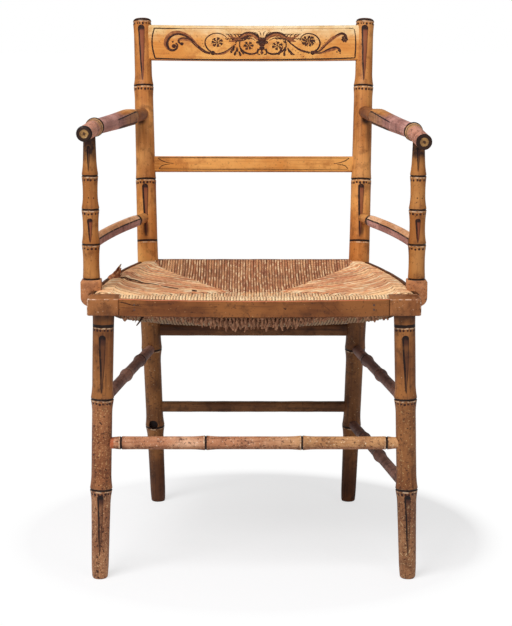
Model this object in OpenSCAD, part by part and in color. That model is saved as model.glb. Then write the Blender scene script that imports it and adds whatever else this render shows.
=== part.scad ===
// Faux bamboo armchair with a rush seat.
// Turned posts, legs and stretchers carry scored bamboo rings. A mortised seat frame holds
// the rush and is edged with nailed strips. The arms are turned and then shaved flat.
// Millimetres, +Z up, origin on the floor under the middle of the chair's outer box.
// The chair faces -Y. Left is the -X side, as seen from the front.

/* [Overall] */
// Height of the back posts
overall_h = 857; // [845:1:870]
// Height of the top of the seat's wooden edge
seat_h = 442; // [436:1:446]
// Height of the wooden edge round the seat
seat_edge_h = 26; // [25:1:28]

/* [Front legs] */
// Distance of a front leg from the middle, at the seat
leg_top_x = 229; // [226:1:231]
// Distance of a front foot from the middle
leg_foot_x = 239.5; // [234:0.5:246]
// How far a front foot stands in front of the leg's top
leg_splay_y = 10; // [0:1:15]
// Height of the upper scored ring on the legs
upper_ring_z = 284; // [280:1:288]
// Height of the lower scored ring on the legs
lower_ring_z = 142; // [138:1:146]

/* [Back posts] */
// Distance of a back foot from the middle
post_foot_x = 170.8; // [168:0.1:174]
// Outward lean of the back posts in degrees
post_lean = 1.55; // [1.2:0.01:1.7]
// How far the posts' bend at the seat lies behind the front legs
post_bend_y = 372; // [368:1:376]
// How far a back foot stands behind the bend
post_foot_back = 46; // [35:1:50]
// How far a post's top leans behind the bend
post_top_back = 88; // [80:1:95]
// Radius of the bend in a back post
post_bend_r = 250; // [200:10:300]
// Height of the scored ring below the crest rail
post_ring_1_z = 739; // [735:1:743]
// Height of the scored ring below the back slat
post_ring_2_z = 580; // [576:1:584]

/* [Back] */
// Height of the crest rail board
crest_h = 60.5; // [55:0.5:62]
// Height of the crest rail's middle line above the floor
crest_z = 812.5; // [810:0.5:815]
// Thickness of the crest rail board
crest_t = 14; // [12:1:16]
// How far the crest rail bows back in its middle
crest_bow = 8; // [4:1:12]
// Height of the back slat
slat_h = 27; // [22:0.5:28]
// Height of the back slat's middle line above the floor
slat_z = 606; // [604:0.5:610]
// Thickness of the back slat
slat_t = 12; // [10:1:13]

/* [Arms] */
// Middle height of the arms' front ends above the floor
arm_front_z = 682; // [680:1:688]
// How far the left arm's front end stands above that height, and the right one's below it
arm_tilt = 6; // [0:0.5:8]
// Height of an arm's rear joint above the floor
arm_rear_z = 694; // [690:1:698]
// Radius of the turned front stretch of an arm
arm_front_r = 12.2; // [12:0.2:14]
// Largest radius of an arm before it is shaved flat
arm_barrel_r = 16.2; // [15.2:0.2:16.4]
// Width left between the shaved sides of an arm
arm_flat_w = 23.5; // [22:0.5:25]
// Distance of an arm support from the middle
support_x = 252; // [250:0.5:253]
// How far an arm support stands behind the front legs
support_y = 60; // [57:1:63]
// Height of an arm brace's bar
brace_h = 18; // [15:1:19]

/* [Seat] */
// Half of the seat's width at its front corners
seat_half_w = 253; // [252:1:254]
// Radius of the outward bow of the seat's sides
side_bow_r = 1370; // [1300:10:1450]
// Bow of the seat's front edge
front_bow = 19; // [16:1:22]
// Width and depth of a front corner block
block_w = 48; // [46:1:50]
// How far the rush dips in its middle
rush_dip = 30; // [10:1:34]
// How far the rush and its stuffing hang below the seat frame
rush_belly = 52; // [40:1:58]

/* [Stretchers] */
// Height of the front stretcher
front_stretcher_z = 214; // [208:1:218]
// Radius of the front stretcher
front_stretcher_r = 10; // [9:0.5:10.5]
// Radius of the side stretchers
side_stretcher_r = 8.5; // [8:0.5:9]
// Height of the upper back stretcher
upper_back_z = 318.5; // [316:0.5:321]
// Height of the lower back stretcher
lower_back_z = 177; // [174:0.5:180]

/* [Hidden] */

$fn = 48;

// Joinery
fit = 0.1;
tenon_len = 14;
side_tenon_len = 9;
groove_depth = 0.9;
groove_half = 1.3;
flare_reach = 24;
floor_cut = 4;

// Front legs
leg_r = 15.5;
leg_ring_r = [17.5, 18];
leg_top_r = 16.7;
leg_foot_r = 11.6;
leg_tenon_r = 10;
leg_tenon_len = 17;
block_bottom_z = seat_h - seat_edge_h;
leg_foot = [leg_foot_x, -leg_splay_y, 0];
leg_top = [leg_top_x, 0, block_bottom_z];

// Back posts
post_top_r = 15.75;
post_cap_r = 11.5;
post_cap_h = 5;
post_cap_edge = 1.5;
post_crest_r = 14.75;
post_arm_r = 16;
post_slat_r = 16.6;
post_seat_r = 17.8;
post_lap = 3;
post_lap_r = post_seat_r - 0.2;
post_knee_r = 17;
post_low_r = 15.2;
post_foot_r = 11.8;
post_ring_r = [17.4, 17.8, 18.2, 17];
post_rake = atan(post_top_back / (overall_h - seat_h));
post_kick = atan(post_foot_back / seat_h);
post_axis_top = overall_h - post_cap_r * sin(post_rake);
bend_tangent = post_bend_r * tan((post_rake + post_kick) / 2);
upper_len = (post_axis_top - seat_h) / cos(post_rake) - bend_tangent;
lower_len = seat_h / cos(post_kick) - bend_tangent;

// Seat frame
side_centre_x = seat_half_w - side_bow_r;
block_front_y = -26;
block_inner_x = seat_half_w - 1 - block_w;
block_back_y = block_front_y + block_w;
front_bow_r = pow(block_inner_x, 2) / (2 * front_bow);
front_mid_y = block_front_y - front_bow;
front_centre_y = front_mid_y + front_bow_r;
front_strip_t = 7;
side_strip_t = 5;
strip_h = 22;
front_nail_z = [426.5, 433.5];
rush_t = 4;
rail_t = 20;
rail_h = 22;
rail_z = block_bottom_z + 12;
rail_tenon_r = 7;
strip_gap = 0.3;
front_rail_inset = front_strip_t + strip_gap + rush_t + rail_t / 2;
side_rail_inset = side_strip_t + strip_gap + rush_t + rail_t / 2;
back_rail_y = post_bend_y + 2;
back_strip_y = back_rail_y + rail_t / 2 + rush_t + strip_gap;

// Arms
arm_front_y = -6;
arm_ring_y = 100;
arm_front_x = 254;
arm_ring_x = 247.5;
arm_ring_share = 0.45;
arm_rear_drop = 0.35;
arm_ring_half = 11;
arm_start_r = 12.2;
arm_ring_r = 15.6;
arm_top = 13.8;
arm_low = 12;
arm_chamfer = 5;
arm_neck_len = 30;
arm_shoulder = [66, 48, 38];
arm_neck_r = 10;
arm_tenon_r = 7.5;
support_tenon_r = 6;
support_ring_z = [460, 514, 568, 620];
support_ring_r = [13.5, 14.4, 14, 13];
support_top_r = 9.2;
ear_w = 31;
ear_d = 28;
ear_outer_x = 268;
ear_bottom_z = 418;
ear_seat_gap = 0.4;
brace_t = 11;
brace_tenon_r = 5.5;
brace_front_z = 513;
brace_rear_z = 516;
brace_neck_r = 8.8;
brace_neck_len = 42;
screw_z = 430;
screw_r = 2.3;
screw_head_r = 4.5;
screw_len = 30;

// Stretchers
stretcher_ring_r = 11.5;
side_ring_r = 11;
side_ring_share = [0.27, 0.55];
front_ring_x = [-204, -74, 74, 204];
upper_side_z = [285, 280];
lower_side_z = [146, 145];
back_stretcher_t = 14;
back_tenon_r = 6.5;

// The outer box is centred on the origin in Y
front_reach = front_mid_y;
cap_along = bend_tangent + upper_len - post_cap_h;
back_reach = post_bend_y + cap_along * sin(post_rake) + post_top_r * cos(post_rake);
centre_y = (front_reach + back_reach) / 2;

// Colours
paint = [0.80, 0.55, 0.22];
worn = [0.50, 0.30, 0.15];
straw = [0.72, 0.56, 0.36];
iron = [0.22, 0.19, 0.17];

// Point on a right post's axis at height z
function post_y(z) =
    z > seat_h ? post_bend_y + (z - seat_h) * tan(post_rake) : post_bend_y + (seat_h - z) * tan(post_kick);
function post_at(z) = [post_foot_x + z * tan(post_lean), post_y(z), z];

// Point on a right front leg's axis at height z
function leg_at(z) = leg_foot + (leg_top - leg_foot) * z / block_bottom_z;

// Point between two points
function between(p, q, share) = p + (q - p) * share;

// X of the seat's outer edge at y
function side_x(y) = side_centre_x + sqrt(pow(side_bow_r, 2) - pow(y - block_front_y, 2));

// Outline points round one knot [z, r, groove half width], with a scored groove where it is a ring
function knot_outline(k) =
    k[2] > 0
        ? [[k[1], k[0] - k[2]], [k[1] - groove_depth, k[0] - k[2] / 2],
           [k[1] - groove_depth, k[0] + k[2] / 2], [k[1], k[0] + k[2]]]
        : [[k[1], k[0]]];

// Outline between knots a and b: it falls off each knot in a parabola to the waist, which
// tapers from radius w[0] to w[1]
function waist_outline(a, b, w) =
    let (
        low = a[0] + a[2],
        high = b[0] - b[2],
        reach = min(flare_reach, (high - low) * 0.45),
        steps = 4
    )
    concat(
        [for (i = [1:steps]) [w[0] + (a[1] - w[0]) * pow(1 - i / steps, 2), low + reach * i / steps]],
        [for (i = [steps:-1:1]) [w[1] + (b[1] - w[1]) * pow(1 - i / steps, 2), high - reach * i / steps]]
    );

// A bamboo turning along +Z through the knots, with one waist [low radius, high radius] between
// each two knots. An empty waist joins its two knots by a straight taper. grow is added to
// every radius where the turning cuts what is fitted round it.
module bamboo(knots, waists, grow = 0) {
    last = len(knots) - 1;
    outline = concat(
        [[0, knots[0][0]]],
        [for (i = [0:last]) each concat(
            knot_outline(knots[i]),
            i < last && len(waists[i]) > 0 ? waist_outline(knots[i], knots[i + 1], waists[i]) : []
        )],
        [[0, knots[last][0]]]
    );
    rotate_extrude()
        polygon([for (p = outline) [p[0] > 0 ? p[0] + grow : 0, p[1]]]);
}

// Stands its children's +Z axis along the line from p towards q, starting at p, and turns them
// by spin degrees about it
module along(p, q, spin = 0) {
    d = q - p;
    translate(p)
        rotate([0, acos(d[2] / norm(d)), atan2(d[1], d[0])])
            rotate([0, 0, spin])
                children();
}

// A round peg of radius r from p to q
module peg(p, q, r, spin = 0) {
    along(p, q, spin)
        cylinder(h = norm(q - p), r = r);
}

module both_sides() {
    children();
    mirror([1, 0, 0])
        children();
}

module left_of() {
    mirror([1, 0, 0])
        children();
}

module place() {
    translate([0, -centre_y, 0])
        children();
}

// Rectangle w by h round the origin. Each corner is worked round to radius r in short flats.
module eased(w, h, r) {
    flats = 4;
    polygon([for (corner = [0:3], i = [0:flats])
        let (
            a = 90 * (corner + i / flats),
            side_x = corner == 0 || corner == 3 ? 1 : -1,
            side_y = corner < 2 ? 1 : -1
        )
        [side_x * (w / 2 - r) + r * cos(a), side_y * (h / 2 - r) + r * sin(a)]]);
}

// Sweeps a flat section along the bow of the right side, inset from the side's outer edge, from
// behind the corner block to the back post
module side_sweep(inset, gap) {
    start = asin((block_back_y - 5 - block_front_y) / side_bow_r);
    stop = asin((post_bend_y - block_front_y) / side_bow_r);
    difference() {
        translate([side_centre_x, block_front_y, 0])
            rotate([0, 0, start])
                rotate_extrude(angle = stop - start, $fn = 360)
                    translate([side_bow_r - inset, 0])
                        children();
        translate([seat_half_w - 60, block_front_y, block_bottom_z - 10])
            cube([80, block_w + gap, seat_edge_h + 20]);
    }
}

// Sweeps a flat section along the bow of the front, with its ends cut square at the corner blocks
module front_sweep(inset) {
    reach = block_inner_x - fit;
    swing = asin((reach + 6) / front_bow_r);
    intersection() {
        translate([0, front_centre_y, 0])
            rotate([0, 0, -90 - swing])
                rotate_extrude(angle = 2 * swing, $fn = 360)
                    translate([front_bow_r - inset, 0])
                        children();
        translate([-reach, front_mid_y - 10, 0])
            cube([2 * reach, 120, seat_h + 20]);
    }
}

// Joints. Each peg or tongue is written once, grown by g where it cuts its mortise.

module leg_peg(g) {
    start = leg_at(block_bottom_z - 4);
    stop = leg_at(block_bottom_z + leg_tenon_len + g);
    peg(start, stop, leg_tenon_r + g, 90);
}

module front_rail_peg(g) {
    y = front_mid_y + front_rail_inset + pow(block_inner_x, 2) / (2 * front_bow_r);
    peg([block_inner_x - 8, y, rail_z], [block_inner_x + tenon_len + g, y, rail_z], rail_tenon_r + g);
}

module side_rail_front_peg(g) {
    x = side_x(block_back_y) - side_rail_inset;
    peg([x, block_back_y + 8, rail_z], [x, block_back_y - side_tenon_len - g, rail_z], rail_tenon_r + g);
}

module side_rail_back_peg(g) {
    post = post_at(rail_z);
    start = [side_x(post[1] - 40) - side_rail_inset, post[1] - 40, rail_z];
    peg(start, between(start, post, 0.8) + [0, g, 0], rail_tenon_r + g);
}

module back_rail_peg(g) {
    post = post_at(rail_z);
    peg([post[0] - 40, back_rail_y, rail_z], [post[0] - 6 + g, back_rail_y, rail_z], rail_tenon_r + g);
}

module back_frame(z) {
    translate([0, post_y(z), z])
        rotate([-post_rake, 0, 0])
            children();
}

module crest_tongue(g) {
    x = post_at(crest_z)[0];
    back_frame(crest_z)
        translate([x - 30, -3 - g, -20 - g])
            cube([26 + g, 6 + 2 * g, 40 + 2 * g]);
}

module slat_tongue(g) {
    x = post_at(slat_z)[0];
    back_frame(slat_z)
        translate([x - 30, -3 - g, -8 - g])
            cube([25 + g, 6 + 2 * g, 16 + 2 * g]);
}

// An arm's front end, ring and rear joint. lift raises its front end, and its rear joint
// drops by a share of that.
function arm_rear_at(lift) = post_at(arm_rear_z - lift * arm_rear_drop);
function arm_front_at(lift) = [arm_front_x, arm_front_y, arm_front_z + lift];
function arm_ring_at(lift) =
    [arm_ring_x, arm_ring_y, arm_front_z + lift + (arm_rear_z - arm_front_z - lift) * arm_ring_share];

module arm_peg(lift, g) {
    span = norm(arm_rear_at(lift) - arm_ring_at(lift));
    start = between(arm_rear_at(lift), arm_ring_at(lift), arm_neck_len / span);
    stop = between(arm_rear_at(lift), arm_ring_at(lift), (5 - g) / span);
    peg(start, stop, arm_tenon_r + g);
}

module support_peg(lift, g) {
    translate([support_x, support_y, arm_front_z + lift - 20])
        cylinder(h = 23 + g, r = support_tenon_r + g);
}

module brace_rear_peg(g) {
    post = post_at(brace_rear_z);
    start = [brace_x(post[1] - 40), post[1] - 40, brace_rear_z];
    peg(start, between(start, post, 0.86) + [0, g, 0], brace_tenon_r + g);
}

module brace_front_peg(g) {
    start = [brace_x(support_y + 30), support_y + 30, brace_front_z];
    stop = [support_x, support_y, brace_front_z];
    peg(start, between(start, stop, 0.9) - [0, g, 0], brace_tenon_r + g);
}

module front_stretcher_axis(g, r) {
    x = leg_at(front_stretcher_z)[0] - 4 + g;
    y = leg_at(front_stretcher_z)[1];
    peg([-x, y, front_stretcher_z], [x, y, front_stretcher_z], r + g);
}

// Ends of a side stretcher from its two heights: back on the post's axis, front on the leg's axis
function side_ends(z) = [post_at(z[0]), leg_at(z[1])];

module side_stretcher_peg(ends, g) {
    span = norm(ends[1] - ends[0]);
    peg(between(ends[0], ends[1], (5 - g) / span), between(ends[0], ends[1], 1 - (5 - g) / span),
        side_stretcher_r - 0.5 + g);
}

module back_stretcher_peg(z, g) {
    post = post_at(z);
    peg([post[0] - 30, post[1], z], [post[0] - 5 + g, post[1], z], back_tenon_r + g);
}

module screw_hole(g) {
    along([ear_outer_x, support_y, screw_z], [ear_outer_x - 1, support_y, screw_z])
        cylinder(h = screw_len + g, r = screw_r + g);
}

// Back post: a raked upper turning and a raked lower turning, each lapped into one bent length
// that stands a hair proud of them

module upper_turning() {
    slat_ring = (post_ring_2_z - seat_h) / cos(post_rake) - bend_tangent;
    crest_ring = (post_ring_1_z - seat_h) / cos(post_rake) - bend_tangent;
    bamboo(
        [[-post_lap, post_lap_r, 0],
         [slat_ring, post_ring_r[1], groove_half],
         [crest_ring, post_ring_r[0], groove_half],
         [upper_len - post_cap_h, post_top_r, 0],
         [upper_len - post_cap_edge, post_top_r - 1.2, 0],
         [upper_len, post_cap_r, 0]],
        [[post_lap_r, post_knee_r], [post_slat_r, post_arm_r], [post_crest_r, post_crest_r], [], []]
    );
}

module lower_turning() {
    lower_ring = lower_ring_z / cos(post_kick);
    upper_ring = upper_ring_z / cos(post_kick);
    bamboo(
        [[-floor_cut, post_foot_r, 0],
         [lower_ring, post_ring_r[3], groove_half],
         [upper_ring, post_ring_r[2], groove_half],
         [lower_len + post_lap, post_lap_r, 0]],
        [[post_foot_r + 1.2, post_low_r - 0.9],
         [post_low_r - 0.2, post_low_r],
         [post_knee_r - 0.2, post_knee_r]]
    );
}

module post_bent_length() {
    start_y = post_bend_y + bend_tangent * sin(post_kick);
    start_z = seat_h - bend_tangent * cos(post_kick);
    translate([0, start_y + post_bend_r * cos(post_kick), start_z + post_bend_r * sin(post_kick)])
        rotate([90, 0, 90])
            rotate([0, 0, 180 - post_rake])
                rotate_extrude(angle = post_rake + post_kick, $fn = 360)
                    translate([post_bend_r, 0])
                        circle(post_seat_r);
}

module post_blank() {
    difference() {
        translate([post_foot_x, 0, 0])
            rotate([0, post_lean, 0]) {
                translate([0, post_bend_y, seat_h])
                    rotate([-post_rake, 0, 0])
                        translate([0, 0, bend_tangent])
                            upper_turning();
                post_bent_length();
                translate([0, post_bend_y + post_foot_back, 0])
                    rotate([post_kick, 0, 0])
                        lower_turning();
            }
        translate([post_foot_x - 50, post_bend_y - 50, -20])
            cube([100, 200, 20]);
    }
}

module back_post(lift) {
    difference() {
        post_blank();
        crest_tongue(fit);
        slat_tongue(fit);
        arm_peg(lift, fit);
        brace_rear_peg(fit);
        back_rail_peg(fit);
        side_rail_back_peg(fit);
        side_stretcher_peg(side_ends(upper_side_z), fit);
        side_stretcher_peg(side_ends(lower_side_z), fit);
        back_stretcher_peg(upper_back_z, fit);
        back_stretcher_peg(lower_back_z, fit);
    }
}

// Plain core of a post's upper or lower length, which cuts the hollow ends of what meets it
module upper_core(r) {
    peg(post_at(seat_h + 40), post_at(overall_h + 20), r);
}

module lower_core(r) {
    peg(post_at(-20), post_at(seat_h - 60), r);
}

module seat_core(r) {
    post = post_at(rail_z);
    translate([post[0], post[1] + 1.5, block_bottom_z - 30])
        cylinder(h = 80, r = r);
}

// Front leg

module front_leg() {
    length = norm(leg_top - leg_foot);
    difference() {
        union() {
            intersection() {
                along(leg_foot, leg_top, 90)
                    bamboo(
                        [[-floor_cut, leg_foot_r, 0],
                         [lower_ring_z, leg_ring_r[0], groove_half],
                         [upper_ring_z, leg_ring_r[1], groove_half],
                         [length + floor_cut, leg_top_r, 0]],
                        [[leg_foot_r + 1.4, leg_r - 0.4], [leg_r, leg_r], [leg_r + 0.3, leg_top_r - 0.4]]
                    );
                translate([leg_foot_x - 50, -60, 0])
                    cube([100, 120, block_bottom_z]);
            }
            leg_peg(0);
        }
        front_stretcher_axis(fit, front_stretcher_r - 1);
        side_stretcher_peg(side_ends(upper_side_z), fit);
        side_stretcher_peg(side_ends(lower_side_z), fit);
    }
}

// Back

module crest_board() {
    half = post_at(crest_z)[0];
    bend_r = pow(half, 2) / (2 * crest_bow);
    swing = asin(half / bend_r);
    back_frame(crest_z)
        translate([0, crest_bow / 2 - bend_r, 0])
            rotate([0, 0, 90 - swing])
                rotate_extrude(angle = 2 * swing, $fn = 360)
                    translate([bend_r, 0])
                        eased(crest_t, crest_h, 2.5);
}

module crest_rail_shape() {
    difference() {
        crest_board();
        both_sides()
            upper_core(post_crest_r + 0.6);
    }
    both_sides()
        crest_tongue(0);
}

module slat_shape() {
    half = post_at(slat_z)[0];
    difference() {
        back_frame(slat_z)
            rotate([90, 0, 90])
                translate([0, 0, -half])
                    linear_extrude(2 * half)
                        eased(slat_t, slat_h, 3);
        both_sides()
            upper_core(post_slat_r + 0.4);
    }
    both_sides()
        slat_tongue(0);
}

// Arm: a turned front stretch, a scored ring at the turn of the arm, and a turned barrel
// that is shaved flat on top, below and on its sides before it necks down to the post.
// The hand-fitted arms don't lie quite level, so every arm module takes its front end's lift.

module arm_front_turning(lift) {
    length = norm(arm_front_at(lift) - arm_ring_at(lift));
    along(arm_ring_at(lift), arm_front_at(lift))
        bamboo(
            [[0, arm_front_r + 1.2, 0], [length - 3, arm_front_r, 0], [length, arm_front_r - 1.6, 0]],
            [[arm_front_r - 0.3, arm_front_r - 0.3], []]
        );
}

module arm_ring(lift) {
    along(arm_ring_at(lift), arm_front_at(lift))
        translate([0, 0, -arm_ring_half])
            bamboo(
                [[0, arm_start_r, 0], [arm_ring_half, arm_ring_r, groove_half],
                 [2 * arm_ring_half, arm_front_r + 0.6, 0]],
                [[], []]
            );
}

// The barrel swells in a parabola up to its shoulder
module arm_barrel(length) {
    side = arm_flat_w / 2;
    steps = 5;
    swell = [for (i = [0:steps]) [
        (length - arm_shoulder[0]) * i / steps,
        arm_start_r + (arm_barrel_r - arm_start_r) * pow(i / steps, 2),
        0
    ]];
    tail = [
        [length - arm_shoulder[1], arm_barrel_r - 0.4, 0],
        [length - arm_shoulder[2], arm_neck_r + 2, 0],
        [length - arm_neck_len, arm_neck_r, 0],
        [length - 10, arm_neck_r, 0]
    ];
    intersection() {
        bamboo(concat(swell, tail), [for (i = [1:steps + len(tail)]) []]);
        linear_extrude(length)
            polygon([
                [-side, arm_top - 1.5], [1.5 - side, arm_top], [side - 1.5, arm_top], [side, arm_top - 1.5],
                [side, arm_chamfer - arm_low], [side - arm_chamfer, -arm_low],
                [arm_chamfer - side, -arm_low], [-side, arm_chamfer - arm_low]
            ]);
    }
}

module arm_shape(lift) {
    difference() {
        union() {
            arm_front_turning(lift);
            arm_ring(lift);
            along(arm_ring_at(lift), arm_rear_at(lift), 90)
                arm_barrel(norm(arm_rear_at(lift) - arm_ring_at(lift)));
        }
        upper_core(post_arm_r + 0.3);
        support_peg(lift, fit);
    }
    arm_peg(lift, 0);
}

// Arm support: a turned upright whose square foot laps over the seat's edge

module support_turning(lift, grow) {
    bamboo(
        [[support_ring_z[0] - 6, 13, 0],
         [support_ring_z[0], support_ring_r[0], groove_half],
         [support_ring_z[1], support_ring_r[1], groove_half],
         [support_ring_z[2], support_ring_r[2], groove_half],
         [support_ring_z[3], support_ring_r[3], groove_half],
         [arm_front_z + lift - 8, support_top_r, 0]],
        [[], [12.5, 12.7], [12, 12.2], [11.3, 11.5], [11.2, support_top_r]],
        grow
    );
}

module support_foot() {
    top = support_ring_z[0] - 1.5;
    lap_w = ear_w - (ear_outer_x - side_x(support_y));
    corner = 14;
    translate([0, support_y + ear_d / 2, 0])
        rotate([90, 0, 0])
            linear_extrude(ear_d)
                difference() {
                    union() {
                        translate([ear_outer_x - ear_w, ear_bottom_z + corner])
                            square([ear_w, top - ear_bottom_z - corner]);
                        translate([ear_outer_x - ear_w, ear_bottom_z])
                            square([ear_w - corner, corner]);
                        translate([ear_outer_x - corner, ear_bottom_z + corner])
                            circle(corner);
                    }
                    translate([ear_outer_x - ear_w - 1, ear_bottom_z - 1])
                        square([lap_w + 1, seat_h + ear_seat_gap + 1 - ear_bottom_z]);
                }
}

module arm_support_shape(lift) {
    difference() {
        union() {
            translate([support_x, support_y, 0])
                support_turning(lift, 0);
            support_foot();
        }
        along(arm_front_at(lift), arm_ring_at(lift))
            translate([0, 0, -20])
                cylinder(h = 200, r = arm_front_r - 0.3 + fit);
        translate([side_centre_x, block_front_y, 0])
            cylinder(h = seat_h + ear_seat_gap, r = side_bow_r + fit, $fn = 720);
        brace_front_peg(fit);
        screw_hole(fit);
        screw_head(fit);
    }
    support_peg(lift, 0);
}

module screw_head(g) {
    along([ear_outer_x, support_y, screw_z], [ear_outer_x - 1, support_y, screw_z])
        cylinder(h = 4, r1 = screw_head_r + g, r2 = screw_r + g);
}

module support_screw() {
    difference() {
        union() {
            screw_head(0);
            screw_hole(0);
        }
        translate([ear_outer_x - 1, support_y - 6, screw_z - 0.6])
            cube([4, 12, 1.2]);
    }
}

// Arm brace: a flat bar bowed outwards like the seat's side, with a round neck at the post

function brace_x(y) =
    let (
        back = post_at(brace_rear_z),
        share = (y - support_y) / (back[1] - support_y),
        span = norm([back[0] - support_x, back[1] - support_y])
    )
    support_x + (back[0] - support_x) * share + span * span / (2 * side_bow_r) * share * (1 - share);

module arm_brace_shape() {
    back = post_at(brace_rear_z);
    front = [support_x, support_y, brace_front_z];
    span = norm([back[0] - front[0], back[1] - front[1]]);
    swing = asin(span / 2 / side_bow_r);
    heading = atan2(back[1] - front[1], back[0] - front[0]);
    drop = atan((brace_rear_z - brace_front_z) / span);
    neck_y = back[1] - brace_neck_len;
    difference() {
        union() {
            translate(front)
                rotate([0, -drop, heading])
                    translate([span / 2, side_bow_r * cos(swing), 0])
                        rotate([0, 0, -90 - swing])
                            rotate_extrude(angle = 2 * swing, $fn = 360)
                                translate([side_bow_r, 0])
                                    eased(brace_t, brace_h, 2);
            peg(back, [brace_x(neck_y), neck_y, brace_rear_z], brace_neck_r);
        }
        upper_core(post_seat_r);
        translate([support_x, support_y, 0])
            support_turning(0, fit);
    }
    brace_rear_peg(0);
    brace_front_peg(0);
}

// Seat frame

module corner_block_shape() {
    difference() {
        translate([0, 0, block_bottom_z])
            linear_extrude(seat_edge_h)
                translate([block_inner_x + block_w / 2, block_front_y + block_w / 2])
                    eased(block_w, block_w, 2);
        leg_peg(fit);
        front_rail_peg(fit);
        side_rail_front_peg(fit);
    }
}

module front_rail_shape() {
    difference() {
        front_sweep(front_rail_inset)
            translate([0, rail_z])
                eased(rail_t, rail_h, 8);
        front_nails(fit);
    }
    both_sides()
        front_rail_peg(0);
}

module side_rail_shape() {
    difference() {
        side_sweep(side_rail_inset, fit)
            translate([0, rail_z])
                eased(rail_t, rail_h, 8);
        seat_core(post_seat_r + 2);
        screw_hole(fit);
        side_nails(fit);
    }
    side_rail_front_peg(0);
    side_rail_back_peg(0);
}

module back_rail_shape() {
    half = post_at(rail_z)[0] - 12;
    difference() {
        translate([-half, back_rail_y, rail_z])
            rotate([90, 0, 90])
                linear_extrude(2 * half)
                    eased(rail_t, rail_h, 8);
        both_sides()
            seat_core(post_seat_r + 1);
        back_nails(fit);
    }
    both_sides()
        back_rail_peg(0);
}

// Strips that edge the seat

module front_strip_shape() {
    difference() {
        front_sweep(front_strip_t / 2)
            translate([0, block_bottom_z + seat_edge_h / 2])
                eased(front_strip_t, seat_edge_h, 1);
        front_nails(fit);
    }
}

module side_strip_shape() {
    difference() {
        side_sweep(side_strip_t / 2, fit)
            translate([0, seat_h - strip_h / 2])
                eased(side_strip_t, strip_h, 1);
        seat_core(post_seat_r + 2);
        screw_hole(fit);
        side_nails(fit);
    }
}

module back_strip_shape() {
    half = post_at(rail_z)[0];
    difference() {
        translate([-half, back_strip_y + side_strip_t / 2, seat_h - strip_h / 2])
            rotate([90, 0, 90])
                linear_extrude(2 * half)
                    eased(side_strip_t, strip_h, 1);
        both_sides()
            seat_core(post_seat_r + 1.5);
        back_nails(fit);
    }
}

module nail(g) {
    cylinder(h = 17 + g, r = 0.8 + g, $fn = 16);
    cylinder(h = 1.2, r = 1.7 + g, $fn = 16);
}

module front_nails(g) {
    for (x = [-180, 180], z = front_nail_z)
        translate([x, front_mid_y + pow(x, 2) / (2 * front_bow_r) - 0.2, z])
            rotate([-90, 0, 0])
                nail(g);
}

module side_nails(g) {
    for (y = [130, 300])
        translate([side_x(y) + 0.2, y, rail_z])
            rotate([0, -90, asin((y - block_front_y) / side_bow_r)])
                nail(g);
}

module back_nails(g) {
    for (x = [-90, 90])
        translate([x, back_strip_y + side_strip_t + 0.2, rail_z])
            rotate([90, 0, 0])
                nail(g);
}

// Rush seat: four fields that fall from the rails to the middle, above and below

rush_u = [-1, -0.985, -0.95, -0.88, -0.7, -0.5, -0.25, 0, 0.25, 0.5, 0.7, 0.88, 0.95, 0.985, 1];
rush_v = [0, 0.01, 0.03, 0.07, 0.16, 0.3, 0.44, 0.58, 0.72, 0.85, 0.93, 0.97, 0.99, 1];
rush_front_y = front_mid_y + front_strip_t + strip_gap;
rush_back_y = back_strip_y - strip_gap;

function rush_side_x(y) = side_x(max(y, block_front_y)) - side_strip_t - strip_gap;
function rush_y(x, v) =
    let (y_front = rush_front_y + x * x / (2 * front_bow_r))
    y_front + (rush_back_y - y_front) * v;

// Plan point of the rush at shares u across and v back. Its sides follow the bow of the rails.
function rush_plan(u, v) =
    let (
        x_first = u * rush_side_x(rush_y(0, v)),
        x_next = u * rush_side_x(rush_y(x_first, v)),
        x = u * rush_side_x(rush_y(x_next, v))
    )
    [x, rush_y(x, v)];

// Distance from the nearest edge of the rush, as a share of the way to its middle line
function rush_inner(p) =
    let (
        side = rush_side_x(p[1]) - abs(p[0]),
        front = p[1] - rush_front_y - p[0] * p[0] / (2 * front_bow_r),
        back = rush_back_y - p[1]
    )
    max(0, min(side, front, back));

rush_edge_top = rail_z + rail_h / 2 - 3;
rush_edge_low = rail_z - rail_h / 2 + 3;
rush_middle = (rush_back_y - rush_front_y) / 2;

function rush_round(d) = sqrt(1 - pow(1 - min(d / 14, 1), 2)) * (rush_t + 3);
function rush_slope(d) = max(0, (d - 26) / (rush_middle - 26));
function rush_top(p) =
    let (d = rush_inner(p))
    rush_edge_top + rush_round(d) - rush_dip * pow(rush_slope(d), 0.55);
function rush_low(p) =
    let (d = rush_inner(p))
    rush_edge_low - rush_round(d) - rush_belly * pow(rush_slope(d), 0.7);

module rush_blank() {
    nu = len(rush_u);
    nv = len(rush_v);
    count = nu * nv;
    plan = [for (v = rush_v) each [for (u = rush_u) rush_plan(u, v)]];
    points = concat(
        [for (p = plan) [p[0], p[1], rush_top(p)]],
        [for (p = plan) [p[0], p[1], rush_low(p)]]
    );
    top = [for (j = [0:nv - 2]) each [for (i = [0:nu - 2]) each
        let (a = j * nu + i) [[a, a + nu, a + 1], [a + 1, a + nu, a + nu + 1]]]];
    low = [for (f = top) [f[0] + count, f[2] + count, f[1] + count]];
    rim = concat(
        [for (i = [0:nu - 2]) i],
        [for (j = [0:nv - 2]) j * nu + nu - 1],
        [for (i = [nu - 1:-1:1]) (nv - 1) * nu + i],
        [for (j = [nv - 1:-1:1]) j * nu]
    );
    wall = [for (k = [0:len(rim) - 1]) each
        let (a = rim[k], b = rim[(k + 1) % len(rim)]) [[a, b, a + count], [b, b + count, a + count]]];
    polyhedron(points, concat(top, low, wall));
}

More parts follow.
